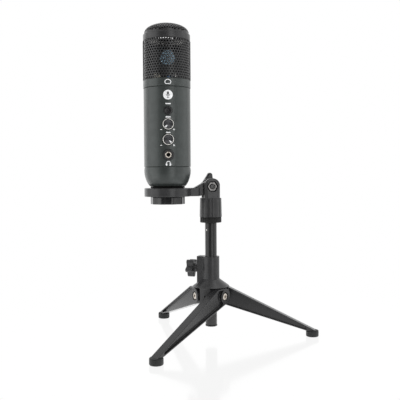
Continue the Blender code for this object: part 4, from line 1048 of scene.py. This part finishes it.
def make_socket(turntable, tilt_z):
    """Fluted sleeve with the two ears of the clevis and the recess for the nut."""
    radius, low, _ = extent("swivel_socket")
    shoulder = tilt_z - SHOULDER_DROP
    above = tilt_z + 2 * EAR_TOP_R
    outline = fluted(radius, SOCKET_FLUTE, SOCKET_FLUTES, SOCKET_FLUTE_SHARE)
    sleeve = eased(tapered(outline, low, shoulder, SOCKET_TOP_R / radius), SOCKET_EDGE)
    ears = eased(prism(ear_outline(tilt_z, shoulder), -EAR_FACE, EAR_FACE, "Y"), EAR_EDGE, SOFT_STEPS)
    ears = combined(ears, "INTERSECT", rod(EAR_ROUND_R, low, above))
    ears = cut(ears, prism(circle(2 * EAR_FACE, 4), 0.0, shoulder - EAR_SINK))
    slot = TONGUE_HALF + GAP
    depth = NUT_SUNK + NUT_H + GAP
    socket = cut(
        added(sleeve, ears),
        prism(rectangle(-2 * EAR_TOP_R, 2 * EAR_TOP_R, shoulder + GAP, above), -slot, slot, "Y"),
        rod(SOCKET_BORE_R, low - PAST, shoulder - SOCKET_ROOF),
        rod(BOLT_R + GAP, -EAR_FACE - PAST, EAR_FACE + PAST, "Y", centre=(0, tilt_z)),
        prism(hexagon(NUT_RECESS_FLATS, (0, tilt_z)), -EAR_FACE - PAST, -EAR_FACE + depth, "Y"),
    )
    piece("swivel_socket_shell", socket, turntable, "black_plastic", "swivel", "swivel_socket",
          edge=SOCKET_CUT_EDGE)


def thread(radius, low, high):
    """Outer side of a turned profile with thread grooves, from low to high."""
    count = max(1, round((high - low) / THREAD_PITCH))
    pitch = (high - low) / count
    points = []
    for i in range(count):
        base = low + i * pitch
        points += [(radius - THREAD_DEPTH, base), (radius, base + pitch / 2)]
    return points + [(radius - THREAD_DEPTH, high)]


def make_tilt_bolt(axis):
    """Chamfered hex nut in the front ear, and the threaded bolt that ends in its sunk face."""
    front = EAR_FACE - NUT_SUNK
    back = front - NUT_H
    below = back - PAST
    past = NUT_FLATS / sqrt(3) + PAST
    round_off = turned(rounded([(0, below), (past, below), (past, front - NUT_CHAMFER),
                                (NUT_FACE_R, front, NUT_FACE_EDGE), (0, front)]), SMALL_SIDES)
    nut = combined(prism(hexagon(NUT_FLATS), back, front), "INTERSECT", round_off)
    sink = turned([(0, below), (BOLT_R + GAP, below), (BOLT_R + GAP, front - NUT_SINK),
                   (NUT_SINK_R, front - NUT_SINK), (NUT_SINK_R, front + PAST), (0, front + PAST)],
                  SMALL_SIDES)
    piece("tilt_nut_body", placed(cut(nut, sink), TO_FRONT), axis, "dark_steel", "swivel", "tilt_nut")
    end = front - BOLT_SHORT
    far = -EAR_FACE - TILT_KNOB["stem_l"]
    profile = [(0, far)] + thread(BOLT_R, far, end - BOLT_END_L) + [(BOLT_R - BOLT_END_IN, end), (0, end)]
    drive = prism(hexagon(BOLT_DRIVE), end - BOLT_DRIVE_DEPTH, end + PAST)
    bolt = placed(cut(turned(profile, SMALL_SIDES), drive), TO_FRONT)
    piece("tilt_bolt_shank", bolt, axis, "black_steel", "tilt_lock", "tilt_bolt")


# ---- ring bracket
def tongue_outline(top):
    """Eye on the tilt axis with a gusset to the arm."""
    reach = sqrt(GUSSET_REACH ** 2 + top ** 2)
    start = pi + asin(-top / reach) - acos(TONGUE_R / reach)
    points = arc((0, 0), TONGUE_R, start, -pi / 2, 2 * ARC_STEPS)
    return points + [(-ARM_SHOULDER, -ARM_DROP), (-GUSSET_REACH, -ARM_DROP), (-GUSSET_REACH, top)]


def make_bracket(axis, arm_length):
    """Ring, arm and tongue in one moulding, in the tilt axis' frame."""
    low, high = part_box("mount_ring")
    radius = (high.y - low.y) / 2
    top = extent("mount_gasket")[1] - extent("retaining_nut")[2] - 2 * GAP - ARM_DROP
    middle = (-arm_length, 0)
    arm = rounded([(-arm_length, -ARM_HALF_W), (-ARM_SHOULDER, -ARM_HALF_W, ARM_CORNER),
                   (-ARM_SHOULDER, ARM_HALF_W, ARM_CORNER), (-arm_length, ARM_HALF_W)], ARM_STEPS)
    bracket = added(
        prism(arm, -ARM_DROP, top),
        rod(radius, -ARM_DROP, top, "Z", SIDES, middle),
        prism(tongue_outline(top), -TONGUE_HALF, TONGUE_HALF, "Y"),
    )
    bracket = cut(
        bracket,
        rod(RING_BORE_R, -ARM_DROP - PAST, top + PAST, "Z", SIDES, middle),
        rod(BOLT_R + GAP, -TONGUE_HALF - PAST, TONGUE_HALF + PAST, "Y"),
    )
    piece("mount_ring_shell", bracket, axis, "black_plastic", "bracket", "mount_ring", edge=BRACKET_EDGE)


def make_retainer(mic):
    """Fluted nut under the ring, threaded inside."""
    _, low, high = extent("retaining_nut")
    outline = fluted(RETAINER_R, RETAINER_FLUTE, RETAINER_FLUTES, RETAINER_SHARE, RETAINER_STEPS)
    inner = STUB_R + THREAD_GAP
    bore = [(0, low - PAST), (inner, low - PAST)]
    bore += [(r + GAP, z) for r, z in thread(STUB_R + THREAD_DEPTH, low, high)]
    bore += [(inner, high + PAST), (0, high + PAST)]
    nut = cut(eased(prism(outline, low, high), RETAINER_EDGE), turned(bore))
    piece("retaining_nut_shell", nut, mic @ spin(RETAINER_TURN), "smooth_plastic", "ring_nut",
          "retaining_nut")


def make_mount(mic):
    """Gasket on the ring, and the threaded stub through it."""
    radius, low, high = extent("mount_gasket")
    gasket = turned(wall(STUB_R + GAP, radius, low, high, GASKET_EDGE, GASKET_EDGE))
    # A real gasket, but its near-black rubber also paints the shade between the cup and the ring.
    on_mic("gasket_ring", gasket, mic, "gasket_rubber_painted_shade", "mount_gasket")
    _, low, high = extent("mount_stub")
    top = high - STUB_SHORT
    profile = [(STUB_BORE_R, low), (STUB_R - STUB_CHAMFER, low)]
    profile += thread(STUB_R, low + STUB_CHAMFER, top) + [(STUB_BORE_R, top)]
    on_mic("mount_stub_thread", turned(profile), mic, "dark_steel", "mount_stub")


def make_usb(mic):
    """Metal shell of the USB socket, mouth down, and its plastic tongue."""
    low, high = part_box("usb_socket")
    half_w = (high.x - low.x) / 2
    half_d = (high.y - low.y) / 2
    width, depth = USB_MOUTH_W, USB_MOUTH_D
    slant_w, slant_d = USB_SLANT_W * width, USB_SLANT_D * depth
    deep = low.z + USB_DEPTH
    outer = rounded([(x, y, PAST) for x, y in rectangle(-half_w, half_w, -half_d, half_d)])
    mouth = [(-width, -depth), (width, -depth), (width, slant_d), (slant_w, depth), (-slant_w, depth),
             (-width, slant_d)]
    shell = cut(prism(outer, low.z, high.z), prism(mouth, low.z - PAST, deep))
    on_mic("usb_shell", shell, mic, "plated_steel", "usb_socket", edge=USB_EDGE)
    width, depth = USB_TONGUE_W * width, USB_TONGUE_D * depth
    tongue = prism(rectangle(-width, width, -depth, depth), low.z + USB_TONGUE_IN, deep + PAST)
    on_mic("usb_tongue", tongue, mic, "ivory_plastic", edge=USB_TONGUE_EDGE)


# ---- microphone
def make_cup(mic):
    radius, low, _ = extent("base_cup")
    high = extent("body_tube")[1] - GAP
    heights = [CUP_ROUND_H * i / CUP_SIDES for i in range(CUP_SIDES + 1)]
    outer = [(radius * sqrt(1 - ((CUP_ROUND_H - h) / CUP_BULGE) ** 2), low + h) for h in heights]
    foot_r = outer[0][0]
    profile = [(STUB_R + GAP, low), (foot_r - SEAM_EDGE, low), (foot_r, low + SEAM_EDGE)] + outer[1:]
    profile += rounded([(radius, high, SEAM_EDGE), (radius - TUBE_WALL, high),
                        (radius - TUBE_WALL, low + CUP_ROUND_H), (foot_r - TUBE_WALL, low + TUBE_WALL),
                        (STUB_R + GAP, low + TUBE_WALL)])
    on_mic("cup_shell", turned(profile), mic, "body_paint", "base_cup")


def make_tube(mic):
    """Painted body tube with a hole for each control."""
    radius, low, high = extent("body_tube")
    inner = radius - TUBE_WALL
    holes = {"mute_button": MUTE_R + MUTE_GAP, "gain_trim": TRIM_R + TRIM_GAP,
             "volume_trim": TRIM_R + TRIM_GAP, "jack_washer": WASHER_R + WASHER_GAP}
    tools = [rod(size, -radius - PAST, -inner / 2, "Y", centre=(0, middle_of(node).z))
             for node, size in holes.items()]
    tube = turned(wall(inner, radius, low, high, SEAM_EDGE, SEAM_EDGE), 2 * SIDES)
    on_mic("body_shell", cut(tube, *tools), mic, "body_paint", "body_tube")


def make_grille(mic):
    """Lower ring, perforated halves with the cloth behind, and the posts between them."""
    radius, low, high = extent("grille_ring")
    ring = turned(wall(radius - RING_WALL, radius, low, high, SEAM_EDGE, SEAM_EDGE, SEAM_EDGE))
    on_mic("grille_ring_shell", ring, mic, "body_paint", "grille_ring")
    _, low, high = extent("front_grille")
    for name, middle in (("front_grille", -pi / 2), ("rear_grille", pi / 2)):
        on_mic(f"{name}_sheet", grille_half(middle, low, high), mic, "grille_paint", name)
    cloth = band(POST_IN_R - GAP, POST_IN_R - GAP - LINER_WALL, 0.0, pi)
    on_mic("rear_liner", prism(cloth, low, high), mic, "liner_cloth")
    half = (pi - SHEET_SPAN) / 2 - GAP / SHEET_R
    for name, middle in (("side_post_right", 0.0), ("side_post_left", pi)):
        post = prism(band(POST_R, POST_IN_R, middle - half, middle + half, ARC_STEPS), low, high)
        on_mic(f"{name}_bar", post, mic, "matt_black", name, edge=POST_EDGE)


def make_dome(mic):
    """Upper band with its bright lining, and the perforated dome with the cloth under its front."""
    radius, low, high = extent("upper_band")
    inner = DOME_R - SHEET_WALL
    seat = DOME_R + DOME_GAP
    profile = rounded([(inner, low), (radius, low, SEAM_EDGE), (radius, high, BAND_EDGE), (seat, high),
                       (seat, high - PAST), (inner, high - PAST)])
    on_mic("band_shell", turned(profile), mic, "grille_paint", "upper_band")
    on_mic("dome_sheet", dome_sheet(high), mic, "grille_paint", "top_grille")
    turns = [pi / 2 * i / ARC_STEPS for i in range(ARC_STEPS + 1)]
    profile = []
    for inset, way in ((SHEET_WALL + GAP, turns), (SHEET_WALL + GAP + LINER_WALL, turns[::-1])):
        rise = DOME_RISE - inset
        profile += [((DOME_R - inset) * sin(t), high + DOME_STRAIGHT + rise * cos(t)) for t in way]
    behind = prism(rectangle(-2 * DOME_R, 2 * DOME_R, 0.0, 2 * DOME_R), high - DOME_R, high + DOME_R)
    on_mic("dome_liner", cut(turned(profile), behind), mic, "liner_cloth")
    lining = band(inner - GAP, inner - GAP - LINER_WALL, 0.0, pi)
    on_mic("band_lining", prism(lining, low + PAST, high - PAST), mic, "bright_trim")


def make_capsule(mic):
    """Disc capsule: rim, metallised diaphragm and its centre contact."""
    place, depth = front_of(mic, "capsule")
    radius = extent("capsule")[0]
    body = rounded([(0, -depth), (radius, -depth, CAPSULE_EDGE), (radius, 0, CAPSULE_EDGE),
                    (radius - CAPSULE_LAND, 0, CAPSULE_IN_EDGE), (radius - CAPSULE_RIM_W, -CAPSULE_DISH),
                    (0, -CAPSULE_DISH)])
    on_mic("capsule_body", turned(body, SIDES, TO_FRONT), place, "capsule_metal", "capsule")
    contact = fronted(wall(0, CONTACT_R, -CONTACT_H, 0, 0, CAPSULE_IN_EDGE))
    on_mic("capsule_contact", contact, place, "dark_print")


def make_leads(mic):
    """What shows through the grille under the capsule: a plug, a screw and a small capacitor."""
    place = shift(mic.translation.x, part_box("capsule_carrier")[0].y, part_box("capsule_deck")[1].z)
    side, notch = PLUG_W / 2, PLUG_NOTCH
    plug = rounded([(-side, 0), (side, 0), (side, PLUG_H, PLUG_ROUND), (notch, PLUG_H),
                    (notch, PLUG_H - notch), (-notch, PLUG_H - notch), (-notch, PLUG_H),
                    (-side, PLUG_H, PLUG_ROUND)])
    on_mic("lead_plug", prism(plug, -PLUG_DEEP, -GAP, "Y"), place @ shift(PLUG_AT, 0, PLUG_UP),
           "ivory_plastic", edge=PLUG_EDGE)
    head = turned(wall(0, LEAD_SCREW_R, GAP, LEAD_SCREW_TOP, 0, PLUG_ROUND), SMALL_SIDES)
    slot = rectangle(-LEAD_SCREW_R, LEAD_SCREW_R, -LEAD_SCREW_SLOT, LEAD_SCREW_SLOT)
    screw = cut(head, prism(slot, LEAD_SCREW_TOP / 2, LEAD_SCREW_TOP + PAST))
    on_mic("lead_screw", placed(screw, TO_FRONT), place @ shift(LEAD_SCREW_AT, 0, LEAD_SCREW_UP),
           "plated_steel")
    drum = fronted(wall(0, CAN_R, GAP, CAN_L, PLUG_ROUND, PLUG_ROUND))
    on_mic("lead_capacitor", drum, place @ shift(CAN_AT, 0, CAN_UP), "blue_sleeve")


# ---- controls
def make_mute(mic):
    """Dished push button with a plain sign sunk in its face."""
    place, depth = front_of(mic, "mute_button")
    cap = rounded([(0, -depth), (MUTE_R, -depth), (MUTE_R, 0, MUTE_EDGE),
                   (MUTE_R - 2 * MUTE_EDGE, 0, MUTE_EDGE), (0, -MUTE_DISH)])
    piece("mute_cap", fronted(cap), place, "smooth_plastic", "mute", "mute_button")
    sign = band(MUTE_SIGN_R, MUTE_SIGN_IN_R, *MUTE_SIGN_ENDS, MUTE_SIGN_STEPS, (0, -MUTE_SIGN_DOWN))
    bar = rectangle(-MUTE_BAR_HALF, MUTE_BAR_HALF, MUTE_BAR_HALF, MUTE_BAR_TOP)
    lift = MUTE_DISH - MUTE_PRINT_SUNK
    for name, outline in (("ring", sign), ("bar", bar)):
        piece(f"mute_sign_{name}", prism(outline, lift, lift + PRINT_WALL, "Y"), place, "grey_print",
              "mute")


def make_knob(mic, name, pointer_turn):
    """Control knob: body, bright trim ring, spun cap and printed pointer."""
    place, depth = front_of(mic, f"{name}_knob")
    radius = extent(f"{name}_knob")[0]
    land = TRIM_IN_R - THIN_GAP
    step = -TRIM_H - THIN_GAP
    body = rounded([(0, -depth), (radius, -depth), (radius, step, KNOB_EDGE), (land, step),
                    (land, 0, KNOB_EDGE), (CAP_R, 0), (CAP_R, -CAP_DEPTH), (0, -CAP_DEPTH)])
    piece(f"{name}_knob_body", fronted(body), place, "smooth_plastic", name, f"{name}_knob")
    trim = wall(TRIM_IN_R, TRIM_R, -TRIM_H, 0, TRIM_LOW_EDGE, TRIM_EDGE, TRIM_IN_EDGE)
    piece(f"{name}_trim_ring", fronted(trim), place, "bright_trim", name, f"{name}_trim")
    cap = wall(0, CAP_R - CAP_GAP, -CAP_DEPTH - GAP, -CAP_DEPTH / 2)
    piece(f"{name}_cap", fronted(cap), place, "spun_cap", name)
    wedge = [(POINTER_IN, -POINTER_NARROW), (POINTER_OUT, -POINTER_WIDE),
             (POINTER_OUT, POINTER_WIDE), (POINTER_IN, POINTER_NARROW)]
    pointer = prism(wedge, CAP_DEPTH / 2 - 2 * PRINT_WALL, CAP_DEPTH / 2, "Y")
    piece(f"{name}_pointer", placed(pointer, spin(-pointer_turn, "Y")), place, "white_print", name)


def make_jack(mic):
    """Plated ring of the headphone socket, its dark bore and the washer around it."""
    place, _ = front_of(mic, "headphone_jack")
    ring = wall(JACK_BORE_R, JACK_R, -JACK_RING_L, 0, 0, JACK_EDGE, JACK_EDGE)
    on_mic("jack_ring", fronted(ring), place, "gilt_ring", "headphone_jack")
    sleeve = [(0, -JACK_DEPTH), (JACK_BORE_R + PAST, -JACK_DEPTH), (JACK_BORE_R + PAST, -JACK_RING_L),
              (JACK_BORE_R, -JACK_RING_L), (JACK_BORE_R, -JACK_DEPTH + PAST), (0, -JACK_DEPTH + PAST)]
    on_mic("jack_sleeve", fronted(sleeve), place, "smooth_plastic")
    place, _ = front_of(mic, "jack_washer")
    washer = wall(JACK_R + WASHER_GAP, WASHER_R, -WASHER_H, 0, 0, WASHER_EDGE, WASHER_EDGE)
    on_mic("jack_washer_ring", fronted(washer), place, "black_plastic", "jack_washer")


# ---- signs
def printed(name, loops, mic, radius, up, finish="white_print", lift=PRINT_LIFT):
    """Thin printed sign: closed loops in the plane, filled and laid round the microphone."""
    bm = bmesh.new()
    edges = []
    for loop in loops:
        verts = [bm.verts.new((x, y, 0)) for x, y in loop]
        edges += [bm.edges.new((verts[i - 1], verts[i])) for i in range(len(verts))]
    bmesh.ops.triangle_fill(bm, use_beauty=True, edges=edges, normal=(0, 0, 1))
    reach = int(max(abs(x) for loop in loops for x, _ in loop) / PRINT_STEP)
    for i in range(-reach, reach + 1):
        bmesh.ops.bisect_plane(bm, geom=bm.verts[:] + bm.edges[:] + bm.faces[:],
                               plane_co=(i * PRINT_STEP, 0, 0), plane_no=(1, 0, 0))
    wrapped(bm, radius + lift, -pi / 2, up)
    on_mic(name, thickened(bm, PRINT_WALL), mic, finish)


def pickup_loop(grow):
    """Bean-shaped pickup pattern, with its notch at the bottom."""
    loop = []
    for turn in (2 * pi * i / SMALL_SIDES for i in range(SMALL_SIDES)):
        away = (turn - 1.5 * pi) / PICKUP_DENT_TURN
        size = 1 - PICKUP_DENT * 2.0 ** (-away * away)
        loop.append(((PICKUP_HALF_W * size + grow) * cos(turn), (PICKUP_HALF_H * size + grow) * sin(turn)))
    return loop


def plus_loop():
    quarter = [(RANGE_STROKE, RANGE_STROKE), (RANGE_STROKE, RANGE_SIZE), (-RANGE_STROKE, RANGE_SIZE)]
    loop = []
    for c, s in ((1, 0), (0, 1), (-1, 0), (0, -1)):
        loop += [(PLUS_AT + c * x - s * y, s * x + c * y) for x, y in quarter]
    return loop


def headphones_loop():
    """Headband and the two ear pads, as one outline."""
    outer, inner = HEADBAND_R
    right = [(x * MM, y * MM) for x, y in HEADPHONES_PAD]
    left = [(-x, y) for x, y in reversed(right)]
    return arc((0, 0), outer, pi, 0, SIGN_STEPS) + right + arc((0, 0), inner, 0, pi, SIGN_STEPS) + left


def centred(half_w, low, high):
    return rectangle(-half_w, half_w, low, high)


def make_signs(mic):
    """Generic signs beside the controls, and plain bars for their words."""
    radius = extent("body_tube")[0]
    printed("sign_pickup", [pickup_loop(PICKUP_STROKE), pickup_loop(-PICKUP_STROKE)], mic,
            extent("grille_ring")[0], PICKUP_UP)
    printed("sign_badge", [circle(BADGE_R)], mic, radius, BADGE_UP)
    make_badge_sign(mic, radius)
    for i, (up, width) in enumerate(zip(LABELS_UP, LABEL_W), start=1):
        printed(f"sign_bar_{i}", [centred(width / 2, -LABEL_H / 2, LABEL_H / 2)], mic, radius, up)
    minus = rectangle(MINUS_AT - RANGE_SIZE, MINUS_AT + RANGE_SIZE, -RANGE_STROKE, RANGE_STROKE)
    for i, up in enumerate(RANGES_UP, start=1):
        printed(f"sign_minus_{i}", [minus], mic, radius, up)
        printed(f"sign_plus_{i}", [plus_loop()], mic, radius, up)
    printed("sign_headphones", [headphones_loop()], mic, radius, HEADPHONES_UP)


def make_badge_sign(mic, radius):
    """A generic microphone drawn dark on the white badge."""
    head = rounded([(x, y, BADGE_HEAD_ROUND) for x, y in centred(*BADGE_HEAD)], BADGE_HEAD_STEPS)
    cradle = band(*BADGE_CRADLE_R, pi, 2 * pi, SIGN_STEPS, (0, BADGE_CRADLE_UP))
    parts = {"head": head, "cradle": cradle, "stem": centred(*BADGE_STEM), "base": centred(*BADGE_BASE)}
    for name, loop in parts.items():
        printed(f"badge_{name}", [loop], mic, radius, BADGE_UP, "dark_print", PRINT_LIFT + PRINT_WALL)


# ---- studio scene
def make_camera():
    data = bpy.data.cameras.new("camera")
    data.lens = CAMERA_LENS
    data.sensor_width = SENSOR_WIDTH
    data.clip_end = VIEW_END
    camera = in_scene("camera", data)
    aim = spin(CAMERA_TURN) @ spin(pi / 2 - CAMERA_DOWN, "X") @ spin(CAMERA_ROLL)
    camera.matrix_world = shift(*CAMERA_AT) @ aim
    bpy.context.scene.camera = camera


def make_lamp(name, turn, distance, height, width, length, power):
    """Soft box round the object, aimed at its middle."""
    data = bpy.data.lights.new(name, "AREA")
    data.shape = "RECTANGLE"
    data.size = width
    data.size_y = length
    data.energy = power
    lamp = in_scene(name, data)
    turn = radians(turn) - pi / 2
    lamp.location = LAMP_AIM + Vector((distance * cos(turn), distance * sin(turn), height))
    lamp.rotation_euler = (LAMP_AIM - lamp.location).to_track_quat("-Z", "Y").to_euler()


def white_light(tree, strength):
    return wired(tree, "Background", {"Color": WHITE, "Strength": strength}).outputs["Background"]


def make_world():
    """White for the camera; for gloss, white behind the object and dimmer in front."""
    world = bpy.data.worlds.new("studio")
    bpy.context.scene.world = world
    world.use_nodes = True
    tree = world.node_tree
    tree.nodes.clear()
    rays = wired(tree, "LightPath").outputs
    where = wired(tree, "TexCoord").outputs["Generated"]
    towards = wired(tree, "SeparateXYZ", {"Vector": where}).outputs
    gloss = ranged(tree, towards["Y"], WORLD_TURN, (FRONT_GLOSS, BACK_GLOSS))
    low = ranged(tree, towards["Z"], LOW_TURN, (LOW_GLOSS, 0.0))
    shine = white_light(tree, worked(tree, "MAXIMUM", gloss, low))
    lit = mixed(tree, rays["Is Glossy Ray"], white_light(tree, AMBIENT), shine)
    seen = worked(tree, "MAXIMUM", rays["Is Camera Ray"], rays["Is Transmission Ray"])
    wired(tree, "OutputWorld", {"Surface": mixed(tree, seen, lit, white_light(tree, 1.0))})


def floor_material():
    """White floor that the camera sees as nearly plain white, with faint reflections and shadows, and that glows
    for gloss rays as a painted glow which the object reflects.
    """
    made = surface("floor_white", FLOOR_TONE, FLOOR_ROUGHNESS, FLOOR_GRAIN, 0.0, mottle=FLOOR_MOTTLE)
    tree = made.node_tree
    paper = tree.nodes["Principled BSDF"].outputs["BSDF"]
    mirror = wired(tree, "BsdfAnisotropic", {"Color": WHITE, "Roughness": MIRROR_ROUGHNESS})
    floor = mixed(tree, FLOOR_MIRROR, paper, mirror.outputs["BSDF"])
    where = wired(tree, "TexCoord").outputs["Object"]
    away = wired(tree, "VectorMath", {0: where}, operation="LENGTH").outputs["Value"]
    # painted glow: emission that only gloss rays see, brighter near the object
    gloss_glow = ranged(tree, away, (GLOSS_GLOW_NEAR_R, GLOSS_GLOW_FAR_R), (GLOSS_GLOW_NEAR, GLOSS_GLOW_FAR))
    shine = wired(tree, "Emission", {"Strength": gloss_glow}).outputs["Emission"]
    rays = wired(tree, "LightPath").outputs
    lit = mixed(tree, rays["Is Glossy Ray"], floor, shine)
    share = ranged(tree, away, (GLOW_NEAR_R, GLOW_FAR_R), (FLOOR_GLOW, 1.0))
    seen = worked(tree, "MULTIPLY", rays["Is Camera Ray"], share)
    white = wired(tree, "Emission").outputs["Emission"]
    feed(tree, tree.nodes["Material Output"], {"Surface": mixed(tree, seen, lit, white)})
    return made


def make_studio():
    make_camera()
    make_world()
    for name, settings in LAMPS.items():
        make_lamp(name, *settings)
    mesh = rod(FLOOR_R, -FLOOR_DROP - PAST, -FLOOR_DROP, sides=SIDES)
    mesh.materials.append(floor_material())
    in_scene("floor", mesh)
    bpy.context.scene.view_settings.view_transform = "Standard"


# ---- assembly
def finish_kept_nodes():
    """Give every CAD node the procedural finish of its slot."""
    slots = {part["node"]: part["material_slot"] for part in frame["record"]["subparts"]}
    for name, node in frame["nodes"].items():
        node.data.materials.clear()
        node.data.materials.append(finish_of(PLAIN_FINISH.get(slots[name], slots[name])))


def make_tripod(pole):
    legs = []
    for number, letter in enumerate("abc", start=1):
        fold = joint(f"leg_{letter}_fold")
        legs.append(upright(*fold["pos_m"], bearing(fold["axis"]) - pi / 2))
        make_leg(number, legs[-1], f"leg_{letter}")
    make_hub(pole, legs, bearing(joint("clamp_turn")["axis"]))


def build():
    pole = upright(*joint("swivel_turn")["pos_m"][:2])
    clamp = joint("clamp_turn")
    tilt = joint("tilt")
    tilt_turn = bearing(tilt["axis"]) - pi / 2
    tilt_at = Vector(tilt["pos_m"])
    tilt_axis = upright(*tilt_at, tilt_turn)
    mic_at = Vector(joint("microphone_turn")["pos_m"])
    mic = upright(mic_at.x, mic_at.y)
    make_tripod(pole)
    make_hand_knob("clamp_knob", "clamp", CLAMP_KNOB, upright(*clamp["pos_m"], bearing(clamp["axis"])),
                   CLAMP_REACH + GAP, "X", TO_SIDE)
    make_pole(pole)
    make_lock_ring(pole)
    make_socket(upright(tilt_at.x, tilt_at.y, 0.0, tilt_turn), tilt_at.z)
    make_tilt_bolt(tilt_axis)
    make_hand_knob("tilt_knob", "tilt_lock", TILT_KNOB, tilt_axis, EAR_FACE + ROOM, "Y", TO_BACK)
    make_bracket(tilt_axis, (mic_at - tilt_at).xy.length)
    for make in (make_retainer, make_mount, make_usb, make_cup, make_tube, make_grille, make_dome,
                 make_capsule, make_leads, make_mute):
        make(mic)
    make_knob(mic, "gain", GAIN_POINTER)
    make_knob(mic, "volume", VOLUME_POINTER)
    make_jack(mic)
    make_signs(mic)


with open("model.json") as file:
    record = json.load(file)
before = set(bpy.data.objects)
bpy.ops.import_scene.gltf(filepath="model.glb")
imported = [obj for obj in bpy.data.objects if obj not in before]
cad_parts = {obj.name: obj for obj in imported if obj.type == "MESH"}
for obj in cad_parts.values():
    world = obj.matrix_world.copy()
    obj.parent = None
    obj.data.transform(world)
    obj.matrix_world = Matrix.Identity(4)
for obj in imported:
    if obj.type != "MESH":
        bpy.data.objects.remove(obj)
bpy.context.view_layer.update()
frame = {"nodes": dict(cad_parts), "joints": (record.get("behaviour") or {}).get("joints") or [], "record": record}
make_studio()
finish_kept_nodes()
build()
